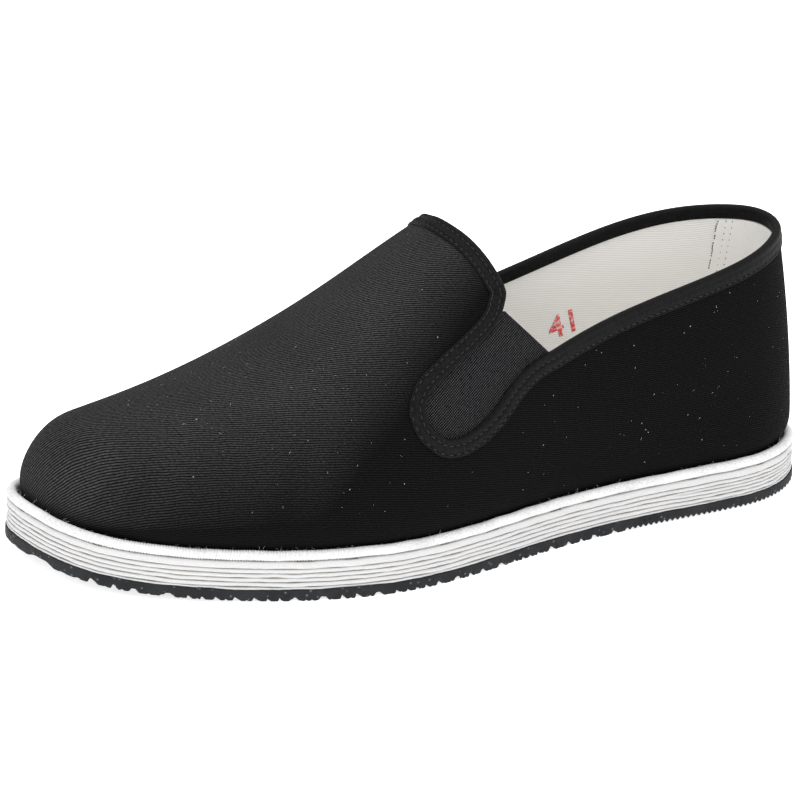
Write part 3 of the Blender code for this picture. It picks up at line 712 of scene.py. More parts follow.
def moulded_rubber():
    # Black foamed rubber, moulded in sheet and cut round: dull dark grey, a fine skin with pores,
    # paler scuffs and dust
    material, tree, shader = start_material("dark_grey_rubber", Specular_IOR_Level=0.12)
    place = add(tree, "ShaderNodeTexCoord", {}, output=3)
    skin = add(tree, "ShaderNodeTexNoise",
               {"Vector": place, "Scale": 900.0, "Detail": 5.0, "Roughness": 0.6})
    scuff = add(tree, "ShaderNodeTexNoise",
                {"Vector": place, "Scale": 90.0, "Detail": 6.0, "Roughness": 0.7})
    factor = add(tree, "ShaderNodeMapRange", {0: scuff, 1: 0.4, 2: 0.75})
    colour = shade_between(tree, factor, "#212224", "#2f3032")
    speck = add(tree, "ShaderNodeTexVoronoi", {"Vector": place, "Scale": 420.0})
    small = add(tree, "ShaderNodeMapRange", {0: speck, 1: 0.12, 2: 0.2, 3: 0.5, 4: 0.0})
    colour = add(tree, "ShaderNodeMix", {0: small, 6: colour, 7: linear("#77787a")}, output=2,
                 data_type="RGBA")
    gloss = add(tree, "ShaderNodeMapRange", {0: skin, 1: 0.3, 2: 0.7, 3: 0.55, 4: 0.8})
    bump = add(tree, "ShaderNodeBump", {"Height": skin, "Strength": 0.5, "Distance": 0.0001})
    tree.links.new(colour, shader.inputs["Base Color"])
    tree.links.new(gloss, shader.inputs["Roughness"])
    tree.links.new(bump, shader.inputs["Normal"])
    return material


def pasted_cloth():
    # Layers of white cotton pasted into board and cut through: chalky white, the cut threads show as
    # fine streaks along the layer, with a few yellowed spots of paste
    material, tree, shader = start_material("white_pasted_cotton", Roughness=0.95,
                                            Specular_IOR_Level=0.2)
    place = add(tree, "ShaderNodeTexCoord", {}, output=3)
    stretched = add(tree, "ShaderNodeMapping", {"Vector": place, "Scale": (260.0, 260.0, 1900.0)})
    streak = add(tree, "ShaderNodeTexNoise", {"Vector": stretched, "Detail": 5.0, "Roughness": 0.65})
    colour = add(tree, "ShaderNodeMapRange", {0: streak, 1: 0.3, 2: 0.7})
    colour = shade_between(tree, colour, "#bebebe", "#d2d2d2")
    spot = add(tree, "ShaderNodeTexVoronoi", {"Vector": place, "Scale": 75.0})
    spot = add(tree, "ShaderNodeMapRange", {0: spot, 1: 0.04, 2: 0.11, 3: 0.3, 4: 0.0})
    colour = add(tree, "ShaderNodeMix", {0: spot, 6: colour, 7: linear("#d6cbb4")}, output=2,
                 data_type="RGBA")
    bump = add(tree, "ShaderNodeBump", {"Height": streak, "Strength": 0.6, "Distance": 0.00012})
    tree.links.new(colour, shader.inputs["Base Color"])
    tree.links.new(bump, shader.inputs["Normal"])
    return material


def paste_and_shade_line():
    # Dried paste between the layers with painted shade for the gaps: brownish grey, uneven
    material, tree, shader = start_material("grey_paste_and_shade", Roughness=0.95)
    place = add(tree, "ShaderNodeTexCoord", {}, output=3)
    patch = add(tree, "ShaderNodeTexNoise", {"Vector": place, "Scale": 160.0, "Detail": 5.0})
    patch = add(tree, "ShaderNodeMapRange", {0: patch, 1: 0.35, 2: 0.7})
    tree.links.new(shade_between(tree, patch, "#7d736b", "#aaa197"), shader.inputs["Base Color"])
    return material


def whipped_cotton():
    # White cotton cord, whipped with soft yarn: bright and matt, fine fibres along each turn
    material, tree, shader = start_material("white_whipped_cotton", Roughness=0.9,
                                            Specular_IOR_Level=0.2)
    place = add(tree, "ShaderNodeTexCoord", {}, output=3)
    fibre = add(tree, "ShaderNodeTexNoise", {"Vector": place, "Scale": 1500.0, "Detail": 4.0})
    soil = add(tree, "ShaderNodeTexNoise", {"Vector": place, "Scale": 60.0, "Detail": 5.0})
    both = add(tree, "ShaderNodeMath", {0: fibre, 1: soil}, operation="ADD")
    both = add(tree, "ShaderNodeMapRange", {0: both, 1: 0.75, 2: 1.15})
    colour = shade_between(tree, both, "#cacaca", "#e2e2e2")
    bump = add(tree, "ShaderNodeBump", {"Height": fibre, "Strength": 0.5, "Distance": 0.00008})
    tree.links.new(colour, shader.inputs["Base Color"])
    tree.links.new(bump, shader.inputs["Normal"])
    return material


def thread_material(name, dark, light, roughness):
    # Spun cotton sewing thread, twisted: a soft sheen with darker turns
    material, tree, shader = start_material(name, Roughness=roughness, Specular_IOR_Level=0.25)
    place = add(tree, "ShaderNodeTexCoord", {}, output=3)
    twist = add(tree, "ShaderNodeTexNoise", {"Vector": place, "Scale": 2500.0, "Detail": 2.0})
    tree.links.new(shade_between(tree, twist, dark, light), shader.inputs["Base Color"])
    bump = add(tree, "ShaderNodeBump", {"Height": twist, "Strength": 0.6, "Distance": 0.00006})
    tree.links.new(bump, shader.inputs["Normal"])
    return material


def stamp_ink():
    # Red stamping ink, dabbed on cloth: it takes only on the raised threads, so it is blotched
    material, tree, shader = start_material("red_stamping_ink", Roughness=0.9)
    place = add(tree, "ShaderNodeTexCoord", {}, output=3)
    blot = add(tree, "ShaderNodeTexNoise",
               {"Vector": place, "Scale": 900.0, "Detail": 4.0, "Roughness": 0.7})
    cover = add(tree, "ShaderNodeMapRange", {0: blot, 1: 0.36, 2: 0.52})
    tree.links.new(shade_between(tree, cover, "#eee4de", "#e2494c"), shader.inputs["Base Color"])
    return material


def studio_paper():
    # White background paper on a light table: plain, matt and pale, with hardly any shadow
    material, tree, shader = start_material("white_background_paper", Roughness=0.95,
                                            Emission_Color=(1.0, 1.0, 1.0, 1.0), Emission_Strength=0.75)
    place = add(tree, "ShaderNodeTexCoord", {}, output=3)
    grain = add(tree, "ShaderNodeTexNoise", {"Vector": place, "Scale": 400.0, "Detail": 3.0})
    tree.links.new(shade_between(tree, grain, "#f6f6f6", "#f8f8f8"), shader.inputs["Base Color"])
    return material


TWILL_SLANT = np.radians(36.0)
# The quarters are cut so that their grain leans more and more towards the heel
GRAIN_BEND = 0.0017


# The upper

UPPER_ROWS = 84
OUTER_PLY = 0.9           # the twill, and under it the drill lining
PLY_GAP = 0.05


def slot_cutter():
    """A prism through both sides of the shoe with the gore slot's outline, open past the hem."""
    rim = [(p.x, p.z) for p in SLOT_EDGE]
    edge = spread_out(soften(spread_out(np.array(rim), 160), 5, closed=False), 90)
    outline = np.concatenate([edge, [[12.5, 87.5], [19.0, 96.0], [38.0, 82.0], [29.5, 70.6]]])
    count = len(outline)
    vertices = [(x, -90, z) for x, z in outline] + [(x, 90, z) for x, z in outline]
    faces = [tuple(range(count)), tuple(reversed(range(count, 2 * count)))]
    faces += [(i, i + count, (i + 1) % count + count, (i + 1) % count) for i in range(count)]
    cutter = mesh_object("slot_cutter", vertices, faces, None)
    face_outward(cutter)
    return cutter


def build_upper(lines):
    shares = np.linspace(0, 1, UPPER_ROWS) ** 1.12
    grid = along_lines(lines, shares)
    grid = press_creases(grid, surface_normals(grid))
    normals = surface_normals(grid)
    pattern = flat_pattern(grid)
    cutter = slot_cutter()
    twill = shell_object("twill_upper", grid, normals, 0.0, OUTER_PLY, pattern, cotton_twill())
    boolean_cut(twill, cutter)
    dress(twill, "black_cloth", "upper")
    drill = cotton_drill("offwhite_drill_lining", 0.62, np.radians(-38), "#e6e4e0", "#fffefb", "#f6f4f0")
    coarse, coarse_normals = grid[::2, ::2], normals[::2, ::2]
    lining = shell_object("drill_lining", coarse, coarse_normals, OUTER_PLY + PLY_GAP, UPPER_WALL,
                          pattern[::2, ::2], drill)
    boolean_cut(lining, cutter)
    dress(lining, "lining_cloth")
    bpy.data.objects.remove(cutter, do_unlink=True)
    return drill


# The tape over the upper's edge

Track = namedtuple("Track", "edge side length")
TAPE_STEP = 0.47
STITCH_PITCH = 2.35


def edge_track(lines):
    """The whole edge of the upper: collar, down and up each gore slot, and over the throat."""
    ends = lines[:, -1]
    on_throat = np.abs(ends[:, 0] - throat_line(ends[:, 1])) < 0.25
    on_collar = ends[:, 0] > COLLAR[0].x + 0.5
    half = len(ends) // 2
    outer_collar = ends[:half][on_collar[:half]]
    inner_collar = ends[half:][on_collar[half:]]
    throat = ends[on_throat]
    rim = np.array([(p.x, p.z) for p in SLOT_EDGE])
    outer_slot = guide.from_side(rim, inner_side=False)
    inner_slot = guide.from_side(rim[::-1], inner_side=True)
    corner = throat_corner(throat)
    edge = np.concatenate([outer_collar, outer_slot, throat[corner], inner_slot, inner_collar])
    closed = np.concatenate([edge, edge[:1]])
    count = int(lengths_along(closed)[-1] / TAPE_STEP)
    edge = spread_out(closed, count + 1)[:-1]
    edge = soften(edge, 7)
    edge, normals = guide.nearest(edge)
    normals = unit(soften(normals, 7))
    along = unit(np.roll(edge, -1, 0) - np.roll(edge, 1, 0))
    side = unit(soften(np.cross(normals, along), 9))
    return Track(edge, side, np.arange(count) * TAPE_STEP)


def throat_corner(throat):
    """The part of the throat's edge between its two corners with the slots."""
    return throat[:, 2] > 88.5


def on_track(track, where, inward, height):
    """Points laid on the surface beside the edge: inward over the cloth and height above it."""
    count = len(track.edge)
    place = np.asarray(where) / TAPE_STEP % count
    low = place.astype(int) % count
    share = (place - np.floor(place))[:, None]
    edge = track.edge[low] * (1 - share) + track.edge[(low + 1) % count] * share
    side = unit(track.side[low] * (1 - share) + track.side[(low + 1) % count] * share)
    base, normals = guide.nearest(edge + np.reshape(inward, (-1, 1)) * side)
    return base + np.reshape(height, (-1, 1)) * normals, normals


# The folded tape's section: how far in from the edge it lies, how far out from the cloth, and how
# much of the puckers it takes. It starts at its seam, dips at each row of stitches, rolls over the
# edge and runs down inside.
TapePoint = namedtuple("TapePoint", "inward out puckers")
TAPE_SECTION = (
    TapePoint(5.25, 0.02, 0.0), TapePoint(5.34, 0.34, 0.3), TapePoint(5.16, 0.62, 0.6),
    TapePoint(4.82, 0.70, 0.9), TapePoint(4.50, 0.44, 0.2), TapePoint(4.32, 0.36, 0.0),
    TapePoint(4.12, 0.46, 0.4), TapePoint(3.80, 0.66, 1.0), TapePoint(3.40, 0.78, 1.3),
    TapePoint(2.90, 0.82, 1.4), TapePoint(2.40, 0.78, 1.3), TapePoint(1.95, 0.60, 0.8),
    TapePoint(1.62, 0.40, 0.2), TapePoint(1.42, 0.34, 0.0), TapePoint(1.20, 0.46, 0.4),
    TapePoint(0.85, 0.68, 0.9), TapePoint(0.40, 0.76, 0.9), TapePoint(0.00, 0.70, 0.6),
    TapePoint(-0.38, 0.50, 0.4), TapePoint(-0.68, 0.10, 0.3), TapePoint(-0.84, -0.45, 0.2),
    TapePoint(-0.86, -1.00, 0.2), TapePoint(-0.72, -1.55, 0.2), TapePoint(-0.35, -2.02, 0.2),
    TapePoint(0.20, -2.24, 0.3),
)
TAPE_INSIDE = (
    TapePoint(1.10, -2.22, 0.6), TapePoint(2.00, -2.20, 0.8), TapePoint(2.90, -2.18, 0.6),
    TapePoint(3.50, -2.12, 0.3), TapePoint(3.80, -1.90, 0.0), TapePoint(3.80, -1.66, 0.0),
    TapePoint(2.00, -1.66, 0.0), TapePoint(-0.20, -1.64, 0.0), TapePoint(-0.20, 0.00, 0.0),
    TapePoint(2.50, 0.01, 0.0),
)
# On the collar the inner row of stitches is missing and the tape lies rounder
COLLAR_FROM = (24.0, 34.0)
COLLAR_CROWN = 0.34
CROWN_WIDTH = 0.6
TAPE_ROWS = (4.34, 1.44)


def build_tape(track, material):
    section = TAPE_SECTION + TAPE_INSIDE
    count = len(track.edge)
    on_collar = ease(track.edge[:, 0], *COLLAR_FROM)
    pucker = 0.24 * (np.abs(np.sin(np.pi * track.length / STITCH_PITCH)) - 0.6)
    pucker = pucker + 0.06 * ripple(count, (180, 330), 11) + 0.05 * ripple(count, (20, 60), 12)
    pucker = pucker * (1 - 0.6 * on_collar)
    rings = []
    for point in section:
        flat = max(point.inward, 0.0)
        base, normals = guide.nearest(track.edge + flat * track.side)
        normals = unit(soften(normals, 5))
        beyond = min(point.inward, 0.0)
        crown = 0.0
        if point.out > 0:
            crown = COLLAR_CROWN * np.exp(-((point.inward - TAPE_ROWS[1]) / CROWN_WIDTH) ** 2)
        out = point.out + pucker * point.puckers + crown * on_collar
        rings.append(base + beyond * track.side + out[:, None] * normals)
    rings = np.stack(rings, 1)
    sides = len(section)
    faces = tube_faces(count, sides)
    profile = np.array([(p.inward, p.out) for p in section])
    around = lengths_along(np.concatenate([profile, profile[:1]]))
    i, j = np.divmod(np.arange(count * sides), sides)
    u = np.stack([i, i, i + 1, i + 1], 1) * TAPE_STEP
    v = around[np.stack([j, j + 1, j + 1, j], 1)]
    tape = mesh_object("binding_tape", rings.reshape(-1, 3), faces, material, np.stack([u, v], -1))
    return dress(tape, "black_tape", "edge_binding")


def stitch_mesh(name, places, normals, along, length, width, height, material):
    """Short stitches, each a rounded bar that dips into the cloth at both ends."""
    sides, rings = 6, 6
    ring_at = np.linspace(-0.5, 0.5, rings)
    swell = np.sqrt(np.clip(1 - (2 * ring_at) ** 4, 0.04, 1))
    turn = np.linspace(0, 2 * np.pi, sides, endpoint=False)
    across = unit(np.cross(along, normals))
    points = np.empty((len(places), rings, sides, 3))
    for r in range(rings):
        middle = places + ring_at[r] * length * along - (2 * ring_at[r]) ** 2 * 0.45 * height * normals
        for s in range(sides):
            points[:, r, s] = (middle + np.cos(turn[s]) * width / 2 * swell[r] * across
                               + np.sin(turn[s]) * height / 2 * swell[r] * normals)
    one = []
    for r in range(rings - 1):
        for s in range(sides):
            t = (s + 1) % sides
            one.append((r * sides + s, (r + 1) * sides + s, (r + 1) * sides + t, r * sides + t))
    one = np.array(one)
    step = rings * sides
    faces = [tuple(f) for f in (one[None] + np.arange(len(places))[:, None, None] * step).reshape(-1, 4)]
    for k in range(len(places)):
        faces.append(tuple(k * step + s for s in range(sides)))
        faces.append(tuple(k * step + step - 1 - s for s in range(sides)))
    return mesh_object(name, points.reshape(-1, 3), faces, material)


def sew_tape(track, material):
    total = track.length[-1]
    places, normals, along = [], [], []
    rng = np.random.default_rng(21)
    for inward, height in zip(TAPE_ROWS, (0.50, 0.48)):
        where = np.arange(0, total, STITCH_PITCH)
        where = where + rng.uniform(-0.12, 0.12, len(where))
        if inward == TAPE_ROWS[1]:
            at = (where / TAPE_STEP).astype(int) % len(track.edge)
            where = where[track.edge[at, 0] < COLLAR_FROM[1]]
        here, up = on_track(track, where, np.full(len(where), inward), np.full(len(where), height))
        ahead, _ = on_track(track, where + 0.5, np.full(len(where), inward), np.full(len(where), height))
        places.append(here)
        normals.append(up)
        along.append(unit(ahead - here + rng.normal(0, 0.03, here.shape)))
    stitches = stitch_mesh("tape_stitches", np.concatenate(places), np.concatenate(normals),
                           np.concatenate(along), 1.75, 0.46, 0.34, material)
    return dress(stitches, "black_tape")


# The elastic gores

GORE_ACROSS, GORE_ALONG = 44, 70
GORE_SINK = 1.05


def build_gore(name, node, inner_side, material):
    """The elastic in one slot: a sheet between the slot's two sides, under a folded hem."""
    rim = np.array([(p.x, p.z) for p in SLOT_EDGE])
    corner_drop = COLLAR_DROP_INNER if inner_side else COLLAR_DROP_OUTER
    rim = np.concatenate([[[28.6, 69.4 - corner_drop]], rim, [[12.0, 83.6]]])
    low = np.argmin(rim @ np.array([np.cos(SLOT_SLANT), np.sin(SLOT_SLANT)]))
    rear = spread_out(rim[:low + 1], GORE_ALONG)
    front = spread_out(rim[low:][::-1], GORE_ALONG)
    share = np.linspace(0.012, 0.988, GORE_ACROSS)[None, :, None]
    flat = rear[:, None] * (1 - share) + front[:, None] * share
    flat = flat[:-1]
    points = guide.from_side(flat.reshape(-1, 2), inner_side)
    _, normals = guide.nearest(points)
    distance = lengths_along(rear)[:-1]
    hem = np.where((distance < 1.5)[:, None], 0.35, 0.0) * np.ones((1, GORE_ACROSS))
    hem[0] *= 0.3
    sag = 0.35 * np.sin(np.pi * share[..., 0]) * ease(distance, 0, 12)[:, None]
    depth = (GORE_SINK + sag - hem).reshape(-1, 1)
    front_face = points - depth * normals
    back_face = points - (GORE_SINK + 0.85 + sag).reshape(-1, 1) * normals
    faces = slab_faces(GORE_ALONG - 1, GORE_ACROSS)
    cosine, sine = np.cos(SLOT_SLANT), np.sin(SLOT_SLANT)
    turn = np.array([[cosine, -sine], [sine, cosine]])
    uv = (flat.reshape(-1, 2) @ turn)[faces % len(front_face)]
    gore = mesh_object(name, np.concatenate([front_face, back_face]), faces, material, uv)
    face_outward(gore)
    gore.data.set_sharp_from_angle(angle=np.radians(50))
    return dress(gore, "black_elastic", node)


# Inside the heel: the stay and the size stamp

# Places are columns of the upper, counted from the back seam, and distances below its edge. The torn
# edge and both rows of stitches lean as they run down.
STAY_EDGE, STAY_END = -15.4, 22.0
STAY_LEAN = -0.23                  # columns for each millimetre down
STAY_DEPTHS = (4.0, 50.0)
STAY_FACE, STAY_BACK = 2.28, 1.66  # depths under the upper's surface
STAY_ROWS = (2.0, 3.6)             # rows of stitches, in columns from the torn edge
STAY_FOLD = -9.0
STAY_COLUMN = 1.4                  # columns are about this far apart here


def lining_points(lines, columns, below, depth):
    """Points on the lining: places are columns round the upper and distances below its edge."""
    count = len(lines)
    columns, below = np.broadcast_arrays(columns, below)
    low = np.floor(columns).astype(int)
    share = (columns - low)[..., None]
    places = []
    for side in (low, low + 1):
        line = lines[side % count]
        length = np.concatenate([np.zeros(line.shape[:-2] + (1,)),
                                 np.cumsum(np.linalg.norm(np.diff(line, axis=-2), axis=-1), -1)], -1)
        want = length[..., -1] - below
        flat = np.empty(want.shape + (3,))
        for index in np.ndindex(want.shape):
            for axis in range(3):
                flat[index + (axis,)] = np.interp(want[index], length[index], line[index][:, axis])
        places.append(flat)
    surface, normals = guide.nearest(places[0] * (1 - share) + places[1] * share)
    return surface - depth * normals, normals


def build_heel_stay(lines, material, thread):
    """A patch of lining cloth over the back seam, torn along one edge and sewn in two rows."""
    rows, across = 60, 72
    below = np.linspace(*STAY_DEPTHS, rows)
    left = STAY_EDGE + STAY_LEAN * (below - below[0]) + 0.22 * ripple(rows, (8, 25), 91)
    left = left[:, None]
    columns = left + (STAY_END - left) * np.linspace(0, 1, across)[None]
    places_below = np.broadcast_to(below[:, None], columns.shape)
    face, normals = lining_points(lines, columns, places_below, STAY_FACE)
    pressed = 0.42 * np.exp(-((columns - STAY_FOLD) / 0.45) ** 2)
    for row in STAY_ROWS:
        pressed = pressed + 0.22 * np.exp(-((columns - left - row) / 0.35) ** 2)
    face = face + pressed[..., None] * normals
    back = face + (STAY_FACE - STAY_BACK - pressed)[..., None] * normals
    faces = slab_faces(rows, across)
    flat = np.stack([places_below, columns * STAY_COLUMN], -1).reshape(-1, 2)
    stay = mesh_object("heel_stay_patch", np.concatenate([face.reshape(-1, 3), back.reshape(-1, 3)]),
                       faces, material, flat[faces % (rows * across)])
    face_outward(stay)
    stay.data.set_sharp_from_angle(angle=np.radians(50))
    dress(stay, "lining_cloth", "heel_stay")

    places, ups, ways = [], [], []
    rng = np.random.default_rng(92)
    for inset, pitch in zip((-0.1,) + STAY_ROWS, (0.9, 2.3, 2.3)):
        low = np.arange(STAY_DEPTHS[0] + 0.8, STAY_DEPTHS[1] - 8, pitch)
        edge = STAY_EDGE + STAY_LEAN * (low - below[0]) + inset
        sink = 0.0 if inset < 0 else 0.18
        if inset < 0:
            low = low[rng.random(len(low)) < 0.62]
            edge = STAY_EDGE + STAY_LEAN * (low - below[0]) + inset + rng.normal(0, 0.12, len(low))
        here, up = lining_points(lines, edge, low, STAY_FACE - sink)
        ahead, _ = lining_points(lines, edge + STAY_LEAN / 2, low + 0.5, STAY_FACE - sink)
        places.append(here)
        ups.append(-up)
        ways.append(unit(ahead - here))
    holes = stitch_mesh("heel_stay_stitches", np.concatenate(places), np.concatenate(ups),
                        np.concatenate(ways), 0.8, 0.42, 0.2, thread)
    return dress(holes, "lining_cloth")


STAMP_TEXT = "41"
STAMP_PLACE = SidePoint(66.5, 50.2)
STAMP_HEIGHT = 11.5
STAMP_TILT = np.radians(14.0)


def build_stamp(material):
    """A plain size number, stamped in red on the lining of the inner quarter."""
    curve = bpy.data.curves.new("size_stamp", "FONT")
    curve.body, curve.size, curve.extrude = STAMP_TEXT, STAMP_HEIGHT, 0.02
    curve.align_x, curve.align_y, curve.offset = "CENTER", "CENTER", 0.22
    curve.space_character, curve.resolution_u = 1.05, 4
    letters = bpy.data.objects.new("size_stamp_letters", curve)
    bpy.context.scene.collection.objects.link(letters)
    depsgraph = bpy.context.evaluated_depsgraph_get()
    mesh = bpy.data.meshes.new_from_object(letters.evaluated_get(depsgraph))
    work = bmesh.new()
    work.from_mesh(mesh)
    bmesh.ops.remove_doubles(work, verts=work.verts, dist=0.0005)
    for axis in (0, 1):
        for cut in np.arange(-8.0, 8.1, 1.0):
            point, way = [0.0, 0.0, 0.0], [0.0, 0.0, 0.0]
            point[axis], way[axis] = cut, 1.0
            bmesh.ops.bisect_plane(work, geom=work.verts[:] + work.edges[:] + work.faces[:],
                                   plane_co=point, plane_no=way)
    flat = np.array([vertex.co for vertex in work.verts])
    faces = [tuple(vertex.index for vertex in face.verts) for face in work.faces]
    work.free()
    bpy.data.objects.remove(letters, do_unlink=True)
    turn = np.array([[np.cos(STAMP_TILT), np.sin(STAMP_TILT)], [-np.sin(STAMP_TILT), np.cos(STAMP_TILT)]])
    side = flat[:, :2] @ turn + np.array(STAMP_PLACE)
    base, normals = guide.nearest(guide.from_side(side, inner_side=True))
    stamp = mesh_object("size_stamp", base - (UPPER_WALL + 0.05 + flat[:, 2:]) * normals, faces, material)
    face_outward(stamp)
    return dress(stamp, "lining_cloth")


# Hairs and lint

def hair_mesh(name, paths, thickness, material):
    """Fine hairs, each a three-sided rod along its own short path."""
    count, rings = paths.shape[:2]
    along = unit(np.gradient(paths, axis=1))
    side = unit(np.cross(along, [0.31, 0.22, 0.93]))
    other = np.cross(along, side)
    angles = np.radians([90.0, 210.0, 330.0])
    points = np.stack([paths + thickness / 2 * (np.cos(a) * side + np.sin(a) * other) for a in angles], 2)
    one = [(r * 3 + s, r * 3 + (s + 1) % 3, (r + 1) * 3 + (s + 1) % 3, (r + 1) * 3 + s)
           for r in range(rings - 1) for s in range(3)]
    step = rings * 3
    faces = []
    for k in range(count):
        faces += [tuple(k * step + v for v in quad) for quad in one]
        faces += [(k * step, k * step + 2, k * step + 1),
                  (k * step + step - 3, k * step + step - 2, k * step + step - 1)]
    hairs = mesh_object(name, points.reshape(-1, 3), faces, material)
    face_outward(hairs)
    return hairs


def build_fuzz(material):
    """Cotton hairs that stand out of the cord, where it meets the twill and along its lower side."""
    rng = np.random.default_rng(301)
    count, rings = 300, 6
    outline = sole_loop(CORD_INSET, DENSE_POINTS)
    pick = rng.integers(0, DENSE_POINTS, count)
    out = loop_normals(outline)[pick]
    along = np.stack([out[:, 1], -out[:, 0]], 1)
    angle = np.radians(np.where(rng.random(count) < 0.7, rng.uniform(85, 140, count),
                                rng.uniform(-70, 60, count)))
    z = STACK_TOP + GAP + CORD_RADIUS + toe_rise(outline[pick, 0])
    start = np.column_stack([outline[pick] + (CORD_RADIUS * np.cos(angle))[:, None] * out,
                             z + CORD_RADIUS * np.sin(angle)])
    way = np.column_stack([np.cos(angle)[:, None] * out, np.sin(angle)])
    way = unit(way + 1.1 * rng.normal(0, 1, count)[:, None] * np.column_stack([along, np.zeros(count)])
               + rng.normal(0, 0.3, way.shape))
    bend = rng.normal(0, 0.55, way.shape)
    reach = rng.uniform(0.4, 1.2, count)[:, None]
    paths = np.stack([start + t * reach * way + t * t * reach * bend
                      for t in np.linspace(-0.1, 1, rings)], 1)
    return dress(hair_mesh("cotton_fuzz", paths, 0.05, material), "white_cloth")


def build_lint(lint):
    """White lint caught on the twill: short curled hairs and crumbs, lying on the cloth."""
    rng = np.random.default_rng(302)
    count, rings = 420, 5
    turn = rng.uniform(0, 2 * np.pi, count)
    start = np.column_stack([20 + 130 * np.cos(turn), HEART[1] + 70 * np.sin(turn),
                             rng.uniform(17, 90, count)])
    start[:, :2] *= rng.uniform(0.55, 1.0, count)[:, None]
    base, normals = guide.nearest(start)
    keep = ~shoe_is_open(base + np.array([0.0, 0.0, 7.0]))
    off_slot = np.abs((base[:, 2] - 56) - np.tan(SLOT_SLANT) * (base[:, 0] + 10))
    in_slot = (off_slot < 22) & (base[:, 0] > -32)
    keep &= ~(in_slot & (base[:, 0] < 40))
    base, normals = base[keep], normals[keep]
    way = unit(np.cross(normals, rng.normal(0, 1, base.shape)))
    curl = unit(np.cross(normals, way)) * rng.normal(0, 0.7, (len(base), 1))
    reach = rng.uniform(0.28, 1.05, len(base))[:, None] ** 2.0 * 0.6
    paths = np.stack([base + 0.05 * normals + t * reach * way + t * t * reach * curl
                      for t in np.linspace(0, 1, rings)], 1)
    flat, up = guide.nearest(paths)
    return dress(hair_mesh("white_lint", flat + 0.05 * up, 0.06, lint), "white_cloth")


# The sole

def spine_of(loop):
    """For each point of a loop round the sole, the nearest point of the sole's middle line."""
    outer, inner = feather_halves()
    x = np.clip(loop[:, 0], *SPINE_ENDS)
    y = (np.interp(x, outer[:, 0], outer[:, 1]) + np.interp(x, inner[:, 0], inner[:, 1])) / 2
    return np.stack([x, y], 1)


def ringed_solid(name, rings, material):
    """A closed solid from rings that go over it from the middle of its top to that of its bottom."""
    count = len(rings[0])
    faces = []
    i = np.arange(count)
    after = (i + 1) % count
    for k in range(len(rings) - 1):
        faces.append(np.stack([k * count + i, k * count + after,
                               (k + 1) * count + after, (k + 1) * count + i], 1))
    faces = [tuple(f) for f in np.concatenate(faces)]
    faces.append(tuple(range(count - 1, -1, -1)))
    faces.append(tuple((len(rings) - 1) * count + i for i in range(count)))
    return mesh_object(name, np.concatenate(rings), faces, material)


def plate_rings(loop, z, shares):
    """Rings of a flat face of the sole, from its rim inwards."""
    spine = spine_of(loop)
    result = []
    for share in shares:
        plan = loop + share * (spine - loop)
        height = z(plan[:, 0], plan[:, 1]) if callable(z) else z
        result.append(np.column_stack([plan, height + toe_rise(plan[:, 0])]))
    return result


def tread_height(x, y):
    """The tread's underside over the ground: a fine saw edge at the heel, ragged lugs before it."""
    saw = 1.2 * np.abs((x / 2.1 + 0.10 * np.sin(y / 3.0)) % 1 * 2 - 1)
    warp = x / 5.4 + 0.40 * np.sin(x / 8.3 + y / 17) + 0.26 * np.sin(x / 3.7 + 1.3) + y / 60
    groove = 1.25 * ease(np.sin(2 * np.pi * warp), 0.25, 0.9)
    torn = 0.32 * np.sin(x * 2.3 + 2.2 * np.sin(x / 2.3 + y / 5)) + 0.26 * np.sin(x * 4.1 + y)
    lugs = np.clip(groove + np.maximum(torn, 0) * (0.35 + 0.9 * np.sin(x / 6.1) ** 2), 0, 1.6)
    heel = ease(x, 58, 62)
    return lugs * (1 - heel) + saw * heel


def build_outsole(material):
    count = 2400
    loop = sole_loop(0.0, count)
    inward = np.linspace(0, 1, 22) ** 1.25 * 0.985
    top = plate_rings(sole_loop(0.25, count), OUTSOLE_TOP, (0.985, 0.6, 0.3, 0.1, 0.0))
    rings = top
    foot = tread_height(loop[:, 0], loop[:, 1])
    rough = 0.04 * ripple(count, (150, 420), 31)
    for share, inset in ((0.03, 0.08), (0.12, 0.0), (0.45, 0.0), (0.8, 0.0), (0.95, 0.05)):
        plan = sole_loop(inset + rough * min(1, 2 * share), count)
        z = OUTSOLE_TOP + (foot - OUTSOLE_TOP) * share + toe_rise(plan[:, 0])
        rings.append(np.column_stack([plan, z]))
    bottom_loop = sole_loop(0.25, count)
    rings += plate_rings(bottom_loop, tread_height, inward)
    outsole = ringed_solid("tread_outsole", rings, material)
    outsole.data.set_sharp_from_angle(angle=np.radians(50))
    return dress(outsole, "rubber", "outsole")


PITS = (SidePoint(67.5, 2.5), SidePoint(69.6, 2.7), SidePoint(72.3, 2.6))


def build_pits(material):
    """Three small holes left by the mould in the outsole's edge, filled with shade."""
    loop = sole_loop(0.0, DENSE_POINTS)
    near = loop[loop[:, 1] < 0]
    near = near[np.argsort(near[:, 0])]
    x = np.array(column(PITS, "x"))
    places = np.column_stack([x, np.interp(x, near[:, 0], near[:, 1]), column(PITS, "z")])
    ahead = np.interp(x + 0.5, near[:, 0], near[:, 1])
    along = unit(np.column_stack([np.full(len(x), 0.5), ahead - places[:, 1], np.zeros(len(x))]))
    normals = np.cross(along, [0.0, 0.0, 1.0])
    places = places - 0.02 * normals
    pits = stitch_mesh("mould_pits", places, normals, along, 1.4, 0.75, 0.14, material)
    return dress(pits, "rubber")


